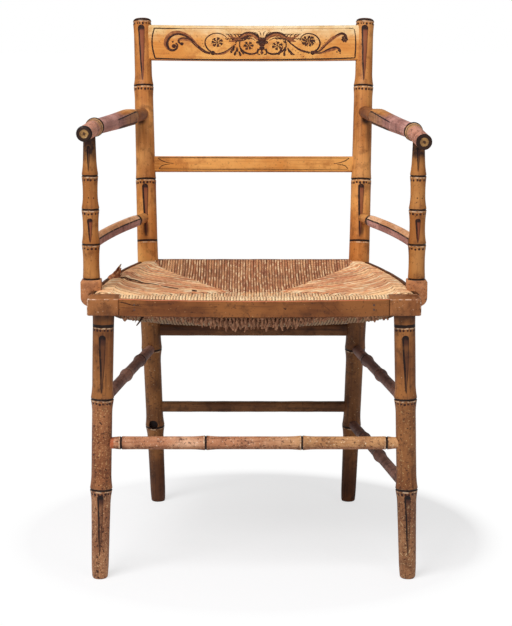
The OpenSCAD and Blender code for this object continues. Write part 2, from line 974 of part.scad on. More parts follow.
module rush_shape() {
    difference() {
        rush_blank();
        both_sides() {
            translate([block_inner_x - strip_gap, block_front_y - 20, block_bottom_z - 20])
                cube([80, block_w + 20 + strip_gap, 80]);
            seat_core(post_seat_r + 3.5);
            translate([ear_outer_x - ear_w - strip_gap, support_y - ear_d / 2 - strip_gap, seat_h - 0.5])
                cube([50, ear_d + 2 * strip_gap, 20]);
            side_sweep(side_rail_inset, 0)
                translate([0, rail_z])
                    eased(rail_t + 0.4, rail_h + 0.4, 8);
            side_rail_back_peg(0.3);
            screw_hole(0.3);
            side_nails(0.3);
        }
        front_sweep(front_rail_inset)
            translate([0, rail_z])
                eased(rail_t + 0.4, rail_h + 0.4, 8);
        translate([-200, back_rail_y, rail_z])
            rotate([90, 0, 90])
                linear_extrude(400)
                    eased(rail_t + 0.4, rail_h + 0.4, 8);
        front_nails(0.3);
        back_nails(0.3);
    }
}

// Stretchers

module front_stretcher_shape() {
    y = leg_at(front_stretcher_z)[1];
    half = leg_at(front_stretcher_z)[0] - 4;
    outer_ring_r = front_stretcher_r + 0.3;
    rings = [for (x = front_ring_x)
        [x + half, abs(x) > 100 ? outer_ring_r : stretcher_ring_r, groove_half]];
    end_r = front_stretcher_r - 1;
    front_waist = [front_stretcher_r, front_stretcher_r];
    translate([-half, y, front_stretcher_z])
        rotate([0, 90, 0])
            bamboo(
                concat(
                    [[0, end_r, 0], [14, end_r, 0]],
                    rings,
                    [[2 * half - 14, end_r, 0], [2 * half, end_r, 0]]
                ),
                [[], [], front_waist, front_waist, front_waist, [], []]
            );
}

module side_stretcher_shape(ends) {
    span = norm(ends[1] - ends[0]);
    end_r = side_stretcher_r - 0.5;
    waist = [side_stretcher_r, side_stretcher_r + 0.4];
    along(ends[0], ends[1])
        bamboo(
            [[5, end_r, 0],
             [20, end_r, 0],
             [span * side_ring_share[0], side_ring_r, groove_half],
             [span * side_ring_share[1], side_ring_r, groove_half],
             [span - 19, end_r, 0],
             [span - 5, end_r, 0]],
            [[], waist, waist, waist, []]
        );
}

module back_stretcher_shape(z, h) {
    post = post_at(z);
    difference() {
        translate([-post[0], post[1], z])
            rotate([90, 0, 90])
                linear_extrude(2 * post[0])
                    eased(back_stretcher_t, h, 5);
        both_sides()
            lower_core(post_knee_r + fit);
    }
    both_sides()
        back_stretcher_peg(z, 0);
}

// The chair's pieces

module left_back_post() { color(paint) place() left_of() back_post(arm_tilt); }
module right_back_post() { color(paint) place() back_post(-arm_tilt); }
module left_front_leg() { color(paint) place() left_of() front_leg(); }
module right_front_leg() { color(paint) place() front_leg(); }
module crest_rail() { color(paint) place() crest_rail_shape(); }
module back_slat() { color(paint) place() slat_shape(); }
module left_arm() { color(paint) place() left_of() arm_shape(arm_tilt); }
module right_arm() { color(paint) place() arm_shape(-arm_tilt); }
module left_arm_support() { color(paint) place() left_of() arm_support_shape(arm_tilt); }
module right_arm_support() { color(paint) place() arm_support_shape(-arm_tilt); }
module left_arm_brace() { color(paint) place() left_of() arm_brace_shape(); }
module right_arm_brace() { color(paint) place() arm_brace_shape(); }
module arm_support_screws() { color(iron) place() both_sides() support_screw(); }
module front_seat_rail() { color(worn) place() front_rail_shape(); }
module back_seat_rail() { color(worn) place() back_rail_shape(); }
module left_seat_rail() { color(worn) place() left_of() side_rail_shape(); }
module right_seat_rail() { color(worn) place() side_rail_shape(); }
module left_corner_block() { color(worn) place() left_of() corner_block_shape(); }
module right_corner_block() { color(worn) place() corner_block_shape(); }
module front_seat_strip() { color(worn) place() front_strip_shape(); }
module back_seat_strip() { color(worn) place() back_strip_shape(); }
module left_seat_strip() { color(worn) place() left_of() side_strip_shape(); }
module right_seat_strip() { color(worn) place() side_strip_shape(); }
module seat_strip_nails() {
    color(iron) place() {
        front_nails(0);
        both_sides()
            side_nails(0);
        back_nails(0);
    }
}
module rush_seat() { color(straw) place() rush_shape(); }
module front_stretcher() { color(worn) place() front_stretcher_shape(); }
module left_upper_stretcher() {
    color(worn) place() left_of() side_stretcher_shape(side_ends(upper_side_z));
}
module right_upper_stretcher() {
    color(worn) place() side_stretcher_shape(side_ends(upper_side_z));
}
module right_lower_stretcher() {
    color(worn) place() side_stretcher_shape(side_ends(lower_side_z));
}
module upper_back_stretcher() { color(worn) place() back_stretcher_shape(upper_back_z, 21); }
module lower_back_stretcher() { color(worn) place() back_stretcher_shape(lower_back_z, 18.5); }

left_back_post();
right_back_post();
left_front_leg();
right_front_leg();
crest_rail();
back_slat();
left_arm();
right_arm();
left_arm_support();
right_arm_support();
left_arm_brace();
right_arm_brace();
arm_support_screws();
front_seat_rail();
back_seat_rail();
left_seat_rail();
right_seat_rail();
left_corner_block();
right_corner_block();
front_seat_strip();
back_seat_strip();
left_seat_strip();
right_seat_strip();
seat_strip_nails();
rush_seat();
front_stretcher();
left_upper_stretcher();
right_upper_stretcher();
right_lower_stretcher();
upper_back_stretcher();
lower_back_stretcher();
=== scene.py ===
"""Faux bamboo armchair with a rush seat: its looks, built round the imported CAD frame.

Every member is a numpy surface in metres, in the frame's own coordinates: +Z up, the chair faces -Y
and its left is the -X side. A side of -1 means left and +1 means right.
"""
import logging
import math
from dataclasses import dataclass
from enum import Enum
from typing import Callable

import bpy
import numpy as np
from bpy.types import Material, Node, NodeSocket, NodeTree, Object
from mathutils import Matrix, Vector


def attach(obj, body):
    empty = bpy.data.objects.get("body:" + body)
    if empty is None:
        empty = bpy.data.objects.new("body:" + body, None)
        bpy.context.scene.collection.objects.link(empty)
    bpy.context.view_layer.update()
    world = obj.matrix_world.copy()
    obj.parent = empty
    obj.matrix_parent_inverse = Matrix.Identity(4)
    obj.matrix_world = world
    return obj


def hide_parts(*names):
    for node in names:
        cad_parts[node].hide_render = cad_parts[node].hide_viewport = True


Array = np.ndarray
Triple = tuple[float, float, float]
LOG = logging.getLogger("armchair")
FORWARD = (0.0, -1.0, 0.0)
UPWARD = (0.0, 0.0, 1.0)

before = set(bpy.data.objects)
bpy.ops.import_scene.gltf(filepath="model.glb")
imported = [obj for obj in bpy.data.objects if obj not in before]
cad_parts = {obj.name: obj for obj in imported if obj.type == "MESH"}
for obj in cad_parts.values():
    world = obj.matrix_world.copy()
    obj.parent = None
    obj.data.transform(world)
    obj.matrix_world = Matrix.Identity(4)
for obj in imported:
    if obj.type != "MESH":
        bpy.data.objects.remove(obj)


def write_size() -> None:
    """Updates the view layer."""
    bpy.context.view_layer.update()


write_size()


class Slot(Enum):
    """Material slot names, one for each kind of piece made here."""

    PAINTED = "painted_wood"
    WORN = "worn_wood"
    BARE = "bare_wood"
    RUSH = "rush"


@dataclass(frozen=True)
class Plan:
    """Where the chair's members stand."""

    middle: float = 0.214394
    seat_z: float = 0.442
    block_z: float = 0.416
    leg_foot: tuple[float, float] = (0.2395, -0.01)
    leg_top: tuple[float, float] = (0.229, 0.0)
    post_foot_x: float = 0.1708
    post_bend_y: float = 0.372
    foot_back: float = 0.046
    top_back: float = 0.088
    height: float = 0.857
    bend_radius: float = 0.25
    lean: float = math.radians(1.55)
    side_radius: float = 1.37
    seat_half: float = 0.253
    block_front: float = -0.026
    block: float = 0.048
    front_bow: float = 0.019
    arm_front: Triple = (0.254, -0.006, 0.682)
    arm_ring: tuple[float, float] = (0.2475, 0.1)
    arm_rear_z: float = 0.694
    arm_tilt: float = 0.006
    arm_drop_share: float = 0.35
    arm_ring_share: float = 0.45
    support: tuple[float, float] = (0.252, 0.06)

    @property
    def rake(self) -> float:
        """Backward rake of the posts above the seat, in radians."""
        return math.atan(self.top_back / (self.height - self.seat_z))

    @property
    def kick(self) -> float:
        """Backward kick of the posts below the seat, in radians."""
        return math.atan(self.foot_back / self.seat_z)

    @property
    def block_inner(self) -> float:
        """Distance of a corner block's inner face from the middle."""
        return self.seat_half - 0.001 - self.block

    @property
    def front_radius(self) -> float:
        """Radius of the seat's front edge."""
        return self.block_inner**2 / (2 * self.front_bow)

    @property
    def front_y(self) -> float:
        """Foremost line of the seat, in the frame."""
        return self.block_front - self.front_bow - self.middle

    def post_at(self, z: float) -> Array:
        """A right post's axis at height z."""
        over = z - self.seat_z
        run = over * math.tan(self.rake) if over > 0 else -over * math.tan(self.kick)
        return np.array([self.post_foot_x + z * math.tan(self.lean), self.post_bend_y + run - self.middle, z])

    def leg_at(self, z: float) -> Array:
        """A right front leg's axis at height z."""
        share = z / self.block_z
        x = self.leg_foot[0] + (self.leg_top[0] - self.leg_foot[0]) * share
        y = self.leg_foot[1] + (self.leg_top[1] - self.leg_foot[1]) * share
        return np.array([x, y - self.middle, z])

    def side_x(self, y: Array | float) -> Array | float:
        """Outer edge of the seat's right side at y."""
        along = np.maximum(y, self.block_front - self.middle) - (self.block_front - self.middle)
        return self.seat_half - self.side_radius + np.sqrt(self.side_radius**2 - along**2)

    def arm_points(self, side: int) -> tuple[Array, Array, Array]:
        """An arm's front end, ring and rear joint on the right, with the lift of the given side."""
        lift = -side * self.arm_tilt
        front = np.array(self.arm_front) + [0, -self.middle, lift]
        rear_z = self.arm_rear_z - lift * self.arm_drop_share
        ring_z = front[2] + (self.arm_rear_z - front[2]) * self.arm_ring_share
        ring = np.array([self.arm_ring[0], self.arm_ring[1] - self.middle, ring_z])
        return front, ring, self.post_at(rear_z)


PLAN = Plan()
LOWER_BACK_Z = 0.146
LOWER_FRONT_Z = 0.145
FRONT_LEVEL = 0.214
FRONT_RINGS = (-0.204, -0.074, 0.074, 0.204)


def unit(vectors: Array) -> Array:
    """Scales vectors, along the last axis, to length one."""
    return vectors / np.linalg.norm(vectors, axis=-1, keepdims=True)


def smooth(value: Array, low: float, high: float) -> Array:
    """Rises smoothly from 0 at low to 1 at high."""
    t = np.clip((value - low) / (high - low), 0, 1)
    return t * t * (3 - 2 * t)


def waver(*terms: Array) -> Array:
    """A slow, repeatable unevenness between about -1 and 1: a product of sines of the terms."""
    total = np.zeros(np.broadcast(*terms).shape)
    for k, term in enumerate(terms):
        total = total + np.sin(term * (1 + 0.37 * k) + 1.7 * k) * 0.6 / (1 + 0.4 * k)
        total = total + np.sin(term * (2.3 + 0.21 * k) + 0.9 * k) * 0.3 / (1 + 0.4 * k)
    return total / len(terms)


def grid(x: Array | float, y: Array | float, z: Array | float) -> Array:
    """Points from their three coordinates."""
    return np.stack(np.broadcast_arrays(x, y, z), -1)


def travelled(points: Array) -> Array:
    """Distance along a line at each of its points."""
    return np.concatenate([[0], np.cumsum(np.linalg.norm(np.diff(points, axis=0), axis=1))])


def girth(outline: Array) -> Array:
    """Distance round an outline at each of its points and back at the first."""
    return travelled(np.vstack([outline, outline[:1]]))


def spline(points: Array, count: int) -> Array:
    """A smooth curve through points.

    Between points b and c, with neighbours a and d and share t, it is half of
    2b + (c - a)t + (2a - 5b + 4c - d)t2 + (3b - a - 3c + d)t3.

    Args:
        points: points in order, shape (n, axes).
        count: how many samples to return.

    Returns:
        Samples, shape (count, axes).
    """
    p = np.asarray(points, float)
    p = np.vstack([2 * p[0] - p[1], p, 2 * p[-1] - p[-2]])
    s = np.linspace(0, len(p) - 3, count)
    k = np.minimum(s.astype(int), len(p) - 4)
    t = (s - k)[:, None]
    a, b, c, d = p[k], p[k + 1], p[k + 2], p[k + 3]
    return 0.5 * (2 * b + (c - a) * t + (2 * a - 5 * b + 4 * c - d) * t**2 + (3 * b - a - 3 * c + d) * t**3)


def eased(width: float, height: float, radius: float, steps: int = 4) -> Array:
    """Outline of a rectangle with rounded corners, counter-clockwise, shape (4 * (steps + 1), 2)."""
    turn = np.linspace(0, math.pi / 2, steps + 1)
    signs = np.array([[1, 1], [-1, 1], [-1, -1], [1, -1]])
    angles = turn[None, :] + np.arange(4)[:, None] * math.pi / 2
    arc = np.stack([np.cos(angles), np.sin(angles)], -1) * radius
    middle = signs * [width / 2 - radius, height / 2 - radius]
    return (arc + middle[:, None, :]).reshape(-1, 2)


def corner_marks(corners: tuple[int, ...], steps: int = 4) -> Array:
    """Marks, from 0 to 1, that peak in the middle of the named corners of an eased outline.

    Args:
        corners: which corners, counted from the one towards both positive directions.
        steps: the outline's flats per corner.

    Returns:
        One mark per outline point.
    """
    peak = np.sin(np.linspace(0, math.pi, steps + 1))
    return np.concatenate([peak if corner in corners else peak * 0 for corner in range(4)])


class Shell:
    """Gathers closed grids of points and makes one object of them."""

    def __init__(self) -> None:
        """Starts with nothing. Quads and tris gather corners, UV distances and material slots."""
        self.points: list[Array] = []
        self.mark: list[Array] = []
        self.quads: list[tuple[Array, ...]] = []
        self.tris: list[tuple[Array, ...]] = []
        self.count = 0

    def add(
        self,
        rings: Array,
        u: Array | None = None,
        v: Array | None = None,
        slot: int = 0,
        caps: tuple[int, int] | None = None,
        mark: Array | None = None,
    ) -> "Shell":
        """Adds one closed skin.

        Neighbouring outlines are joined by quads and each end outline is closed by a fan round its
        mean point. The faces are turned outwards by the sign of the enclosed volume.

        Args:
            rings: points, shape (rows, columns, 3).
            u: distance round the outline, shape (columns + 1,) or (rows, columns + 1).
            v: distance along the rows, shape (rows,) or (rows, columns + 1).
            slot: material slot of the sides.
            caps: material slots of the first and last cap, or None for the sides' slot.
            mark: a number for each point, shape (rows, columns).

        Returns:
            The shell itself.
        """
        rows, columns = rings.shape[:2]
        u = np.linspace(0, 1, columns + 1) if u is None else u
        v = np.linspace(0, 1, rows) if v is None else v
        v = v[:, None] if v.ndim == 1 else v
        uv = np.stack([np.broadcast_to(part, (rows, columns + 1)) for part in (u, v)], -1)
        points = np.vstack([rings.reshape(-1, 3), rings[0].mean(0), rings[-1].mean(0)])
        i, j = (part.ravel() for part in np.mgrid[: rows - 1, :columns])
        k = (j + 1) % columns
        quads = np.stack([i * columns + j, i * columns + k, (i + 1) * columns + k, (i + 1) * columns + j], 1)
        quad_uv = np.stack([uv[i, j], uv[i, j + 1], uv[i + 1, j + 1], uv[i + 1, j]], 1)
        fans, fan_uv = [], []
        here = np.arange(columns)
        after = (here + 1) % columns
        angle = 2 * math.pi * here / columns
        for row, a, b in ((0, after, here), (rows - 1, here, after)):
            hub = np.full(columns, rows * columns + (row > 0))
            fans.append(np.stack([hub, row * columns + a, row * columns + b], 1))
            reach = np.linalg.norm(rings[row] - points[hub[0]], axis=1)
            flat = np.stack([np.cos(angle), np.sin(angle)], 1) * reach[:, None]
            fan_uv.append(np.stack([np.zeros((columns, 2)), flat[a], flat[b]], 1))
        tris, tri_uv = np.vstack(fans), np.concatenate(fan_uv)
        split = np.vstack([quads[:, [0, 1, 2]], quads[:, [0, 2, 3]], tris])
        a, b, c = (points[split[:, corner]] for corner in range(3))
        if np.einsum("ij,ij->i", a, np.cross(b, c)).sum() < 0:
            quads, quad_uv, tris, tri_uv = (part[:, ::-1] for part in (quads, quad_uv, tris, tri_uv))
        self.quads.append((quads + self.count, quad_uv, np.full(len(quads), slot)))
        self.tris.append((tris + self.count, tri_uv, np.repeat(caps or (slot, slot), columns)))
        self.points.append(points)
        flat_mark = np.zeros(rows * columns) if mark is None else mark.ravel()
        self.mark.append(np.concatenate([flat_mark, [0.0, 0.0]]))
        self.count += len(points)
        return self

    def make(self, name: str, materials: list[Material], crease: float = 40.0) -> Object:
        """Makes the object.

        Args:
            name: the object's name.
            materials: its material slots.
            crease: edges that turn by more than this, in degrees, stay sharp.

        Returns:
            The new object, linked to the scene.
        """
        faces = self.quads + self.tris
        mesh = bpy.data.meshes.new(name)
        corners = [face for part, _, _ in faces for face in part.tolist()]
        mesh.from_pydata(np.vstack(self.points).tolist(), [], corners)
        uv = mesh.uv_layers.new(name="UVMap")
        loops = np.vstack([part.reshape(-1, 2) for _, part, _ in faces])
        uv.data.foreach_set("uv", loops.astype(np.float32).ravel())
        mark = mesh.attributes.new("mark", "FLOAT", "POINT")
        mark.data.foreach_set("value", np.concatenate(self.mark).astype(np.float32))
        slots = np.concatenate([part for _, _, part in faces]).astype(np.int32)
        mesh.polygons.foreach_set("material_index", slots)
        mesh.polygons.foreach_set("use_smooth", np.ones(len(mesh.polygons), bool))
        for material in materials:
            mesh.materials.append(material)
        mesh.set_sharp_from_angle(angle=math.radians(crease))
        mesh.update()
        piece = bpy.data.objects.new(name, mesh)
        bpy.context.collection.objects.link(piece)
        return piece


def dress(piece: Object, slot: Slot, *nodes: str) -> Object:
    """Ties a piece to the frame, hides the CAD nodes it stands for and logs its faces."""
    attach(piece, "root")
    if nodes:
        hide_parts(*nodes)
    LOG.info("%s: %d faces", piece.name, len(piece.data.polygons))
    return piece


def mirrored(points: Array, side: int) -> Array:
    """Points of the right side, or their mirror image for the left."""
    return points * np.array([side, 1, 1])


@dataclass(frozen=True)
class Course:
    """The line a member runs along: centres and three crossing directions at each station."""

    centres: Array
    ahead: Array
    front: Array
    across: Array

    @staticmethod
    def through(centres: Array, face: Triple = FORWARD) -> "Course":
        """A course through centres.

        Args:
            centres: points along the member, shape (n, 3).
            face: the direction its face, where u is 0, looks to.

        Returns:
            The course, whose across is ahead cross front.
        """
        ahead = unit(np.gradient(centres, axis=0))
        look = np.asarray(face, float)
        front = unit(look - ahead * (ahead @ look)[:, None])
        return Course(centres, ahead, front, np.cross(ahead, front))

    @staticmethod
    def straight(start: Array, end: Array, along: Array, face: Triple = FORWARD) -> "Course":
        """A straight course with stations at the given distances from start towards end."""
        step = unit(np.asarray(end, float) - start)
        return Course.through(np.asarray(start) + along[:, None] * step, face)

    def place(self, sections: Array) -> Array:
        """Points of sections (n, columns, 2), given as (front, across) distances."""
        return (
            self.centres[:, None, :]
            + sections[..., :1] * self.front[:, None, :]
            + sections[..., 1:] * self.across[:, None, :]
        )


@dataclass(frozen=True)
class Turning:
    """Outline of a bamboo turning.

    Attributes:
        knots: (distance along, radius, scored) in order.
        waists: (low radius, high radius) between each two knots, or None for a straight taper.
        reach: how far a knot's swelling reaches along the member.
        groove: depth of a scored ring.
        ring: half width of a scored ring.
    """

    knots: tuple[tuple[float, float, bool], ...]
    waists: tuple[tuple[float, float] | None, ...]
    reach: float = 0.024
    groove: float = 0.0011
    ring: float = 0.00115

    def stations(self, coarse: float = 0.008) -> Array:
        """Distances along the member, close together at the rings and coarse elsewhere."""
        first, last = self.knots[0][0], self.knots[-1][0]
        parts = [np.arange(first, last, coarse), np.array([k[0] for k in self.knots])]
        for at, _, scored in self.knots:
            if scored:
                parts.append(at + np.linspace(-0.0042, 0.0042, 25))
                parts.append(at + np.arange(-self.reach, self.reach, 0.0016))
            else:
                parts.append(at + np.array([-0.0012, 0.0012]))
        found = np.unique(np.round(np.concatenate(parts), 5))
        found = found[(found >= first) & (found <= last)]
        return found[np.concatenate([[True], np.diff(found) > 0.00012])]

    def radius(self, along: Array) -> Array:
        """Radius at each distance along.

        Between two knots it is the waist's radius, which runs straight from its low to its high
        value, plus at each end the knot's surplus times the square of the share of the reach that
        is left. A scored ring takes off its depth times exp(-(distance / half width)^4).
        """
        out = np.full(along.shape, float(self.knots[-1][1]))
        for (low, low_r, _), (high, high_r, _), waist in zip(self.knots, self.knots[1:], self.waists):
            inside = (along >= low) & (along <= high)
            share = (along[inside] - low) / (high - low)
            if waist is None:
                out[inside] = low_r + (high_r - low_r) * share
                continue
            reach = min(self.reach, (high - low) * 0.45)
            base = waist[0] + (waist[1] - waist[0]) * share
            near = np.clip(1 - (along[inside] - low) / reach, 0, 1) ** 2
            far = np.clip(1 - (high - along[inside]) / reach, 0, 1) ** 2
            out[inside] = base + (low_r - waist[0]) * near + (high_r - waist[1]) * far
        for at, _, scored in self.knots:
            if scored:
                out = out - self.groove * np.exp(-(((along - at) / self.ring) ** 4))
        return out


def round_rings(
    course: Course, radius: Array, columns: int = 48, uneven: float = 0.00012
) -> tuple[Array, Array]:
    """Round sections along a course.

    Args:
        course: where the member runs.
        radius: radius at each station.
        columns: points round the member; the seam lies opposite its face.
        uneven: how far the hand-finished surface wanders.

    Returns:
        The points, shape (n, columns, 3), and u as arc length from the face, shape (columns + 1,).
    """
    angle = np.linspace(-math.pi, math.pi, columns + 1)
    along = np.linalg.norm(course.centres - course.centres[0], axis=1)
    wander = waver(along[:, None] * 60 + 0 * angle[:-1], np.sin(angle[None, :-1]) * 2 + along[:, None] * 21)
    r = radius[:, None] + uneven * wander
    sections = np.stack([r * np.cos(angle[:-1]), r * np.sin(angle[:-1])], -1)
    return course.place(sections), angle * float(np.median(radius))


def end_rows(sections: Array, inset: float) -> Array:
    """Draws each outline in towards its mean by inset."""
    middle = sections.mean(1, keepdims=True)
    reach = np.abs(sections - middle).max((0, 1))
    return middle + (sections - middle) * (1 - inset / np.maximum(reach, 1e-6))


def swept(
    course: Course, section: Array, v: Array, ease: float = 0.0006, uneven: float = 0.00015
) -> tuple[Array, Array, Array]:
    """A fixed section swept along a course, with eased ends and slightly uneven faces.

    Args:
        course: where the bar runs.
        section: outline as (front, across) distances, shape (columns, 2).
        v: distance along at each station.
        ease: how far the end edges are rounded.
        uneven: how far the worn faces wander.

    Returns:
        Points (n + 2, columns, 3), u (columns + 1,) and v (n + 2,).
    """
    u = girth(section)
    sections = np.repeat(section[None], len(v), 0)
    scale = 1 + uneven / np.abs(section).max() * waver(v[:, None] * 90, v[:, None] * 31 + u[None, :-1] * 160)
    sections = sections * scale[..., None]
    rows = course.place(sections)
    ends = course.place(end_rows(sections, ease))
    rows[0] += course.ahead[0] * ease
    rows[-1] -= course.ahead[-1] * ease
    points = np.concatenate([ends[:1], rows, ends[-1:]])
    return points, u, np.concatenate([v[:1], v, v[-1:]])


# Shader nodes


@dataclass(frozen=True)
class Wire:
    """A shader node's output, which arithmetic turns into Math nodes."""

    nodes: "Nodes"
    socket: NodeSocket

    def __add__(self, other: object) -> "Wire":
        """The sum."""
        return self.nodes.math("ADD", self, other)

    def __sub__(self, other: object) -> "Wire":
        """This less the other."""
        return self.nodes.math("SUBTRACT", self, other)

    def __rsub__(self, other: float) -> "Wire":
        """The other less this."""
        return self.nodes.math("SUBTRACT", other, self)

    def __mul__(self, other: object) -> "Wire":
        """The product."""
        return self.nodes.math("MULTIPLY", self, other)

    def __truediv__(self, other: object) -> "Wire":
        """The quotient."""
        return self.nodes.math("DIVIDE", self, other)

    def __pow__(self, other: float) -> "Wire":
        """The power."""
        return self.nodes.math("POWER", self, other)

    def __abs__(self) -> "Wire":
        """The distance from 0."""
        return self.nodes.math("ABSOLUTE", self)


class Nodes:
    """Writes shader nodes into one tree, each laid out to the right of the last."""

    def __init__(self, tree: NodeTree) -> None:
        """Starts in an existing tree."""
        self.tree = tree
        self.made = 0

    def add(self, kind: str, inputs: dict | None = None, **settings: object) -> Node:
        """Adds a node.

        Args:
            kind: its type without the word ShaderNode.
            inputs: values or wires for its inputs, by name or number.
            settings: values for its own properties.

        Returns:
            The node.
        """
        node = self.tree.nodes.new("ShaderNode" + kind)
        node.location = (190 * (self.made % 12), -230 * (self.made // 12))
        self.made += 1
        for key, value in settings.items():
            setattr(node, key, value)
        self.fill(node, inputs or {})
        return node

    def fill(self, node: Node, inputs: dict) -> None:
        """Links a wire into each named input of a node, or sets the input's value."""
        for key, value in inputs.items():
            socket = node.inputs[key]
            if isinstance(value, Wire):
                self.tree.links.new(value.socket, socket)
            elif isinstance(value, tuple) and len(value) == 3 and socket.type == "RGBA":
                socket.default_value = (*value, 1.0)
            else:
                socket.default_value = value

    def out(self, node: Node, key: str | int = 0) -> Wire:
        """One output of a node."""
        return Wire(self, node.outputs[key])

    def math(self, operation: str, *values: object) -> Wire:
        """A Math node's result."""
        return self.out(self.add("Math", dict(enumerate(values)), operation=operation))

    def most(self, a: object, b: object) -> Wire:
        """The greater of two values."""
        return self.math("MAXIMUM", a, b)

    def line(self, value: Wire, slope: float, start: object) -> Wire:
        """Start plus slope times the value."""
        return self.math("MULTIPLY_ADD", value, slope, start)

    def apart(self, a: Wire, b: Wire) -> Wire:
        """The distance between two points a apart one way and b the other."""
        return self.math("SQRT", a**2 + b**2)

    def ramp(self, value: Wire, low: float, high: float) -> Wire:
        """Rises smoothly from 0 at low to 1 at high."""
        inputs = {"Value": value, "From Min": low, "From Max": high}
        return self.out(self.add("MapRange", inputs, interpolation_type="SMOOTHSTEP"))

    def band(self, value: Wire, low: float, high: float, soft: float) -> Wire:
        """1 between low and high, with soft edges."""
        return self.ramp(value, low - soft, low + soft) - self.ramp(value, high - soft, high + soft)

    def mix(self, factor: object, a: object, b: object) -> Wire:
        """Colour a turned into colour b by factor."""
        return self.out(self.add("Mix", {0: factor, 6: a, 7: b}, data_type="RGBA"), 2)

    def noise(self, place: Wire, scale: float, detail: float = 2.0, rough: float = 0.5) -> Wire:
        """Noise from 0 to 1."""
        inputs = {"Vector": place, "Scale": scale, "Detail": detail, "Roughness": rough}
        return self.out(self.add("TexNoise", inputs), "Fac")

    def vector(self, x: object, y: object, z: object = 0.0) -> Wire:
        """A vector from its three parts."""
        return self.out(self.add("CombineXYZ", {0: x, 1: y, 2: z}))

    def parts(self, vector: Wire) -> tuple[Wire, ...]:
        """The three parts of a vector."""
        node = self.add("SeparateXYZ", {0: vector})
        return tuple(self.out(node, part) for part in range(3))

    def chance(self, place: Wire) -> tuple[Wire, ...]:
        """Three random shares, new at each place."""
        return self.parts(self.out(self.add("TexWhiteNoise", {0: place}, noise_dimensions="3D"), "Color"))

    def where(self, output: str = "Object") -> Wire:
        """The place on the object, or another of its texture coordinates."""
        return self.out(self.add("TexCoord"), output)

    def distances(self) -> tuple[Wire, ...]:
        """The distances u and v of the UV map."""
        return self.parts(self.out(self.add("UVMap", uv_map="UVMap")))[:2]

    def finish(self, shader: Node, inputs: dict, height: Wire, strength: float, distance: float) -> None:
        """Fills a shader's inputs and bumps its surface by a height."""
        bump = self.add("Bump", {"Strength": strength, "Distance": distance, "Height": height})
        self.fill(shader, inputs | {"Normal": self.out(bump)})


def new_group(name: str, inputs: dict, outputs: dict[str, str]) -> tuple[Nodes, dict[str, Wire], Node]:
    """Starts a shader node group.

    Args:
        name: the group's name.
        inputs: default values by name; a tuple of three is a vector and of four a colour.
        outputs: "Color" or "Float" by name.

    Returns:
        The nodes inside, the input wires by name and the group's output node.
    """
    tree = bpy.data.node_groups.new(name, "ShaderNodeTree")
    for key, value in inputs.items():
        kind = {1: "Float", 3: "Vector", 4: "Color"}[len(value) if isinstance(value, tuple) else 1]
        socket = tree.interface.new_socket(key, in_out="INPUT", socket_type="NodeSocket" + kind)
        socket.default_value = value
    for key, kind in outputs.items():
        tree.interface.new_socket(key, in_out="OUTPUT", socket_type="NodeSocket" + kind)
    nodes = Nodes(tree)
    given = tree.nodes.new("NodeGroupInput")
    given.location = (-250, 0)
    result = tree.nodes.new("NodeGroupOutput")
    result.location = (2500, 0)
    return nodes, {s.name: Wire(nodes, s) for s in given.outputs if s.name}, result


def ring_mark_group() -> NodeTree:
    """A scored ring's dark line, pale lip with wear and a painted highlight, and row of dots, from UV
    distances in metres.
    """
    n, get, result = new_group(
        "ring_mark",
        {"U": 0.0, "V": 0.0, "At": 0.0, "Half": 0.0013, "Dots": 1.0, "Pitch": 0.0058},
        {"Line": "Float", "Lip": "Float", "Dots": "Float"},
    )
    at, half, pitch = get["At"], get["Half"], get["Pitch"]
    spot = n.vector(get["U"], at, get["V"])
    off = get["V"] - at + (n.noise(spot, 160.0) - 0.5) * 0.0011
    line = 1 - n.ramp(abs(off) - half, -0.0003, 0.0004)
    gaps = n.ramp(n.noise(spot, 420.0), 0.22, 0.4)
    lip = n.band(off * -1.0 - half, 0.0004, 0.0021, 0.0004)
    cell = get["U"] / pitch
    number = n.math("FLOOR", cell)
    shift = n.chance(n.vector(number, at, 0.3))
    across = (cell - number - n.line(shift[0], 0.3, 0.35)) * pitch
    down = off + n.line(shift[1], 0.0012, 0.006)
    size = n.line(shift[2], 0.0007, 0.0015)
    dot = 1 - n.ramp(n.apart(across, down) - size, -0.0002, 0.0002)
    worn = n.ramp(n.noise(spot, 240.0, 3.0), 0.36, 0.62)
    n.fill(result, {"Line": line * n.line(gaps, 0.3, 0.7), "Lip": lip * worn, "Dots": dot * get["Dots"]})
    return n.tree


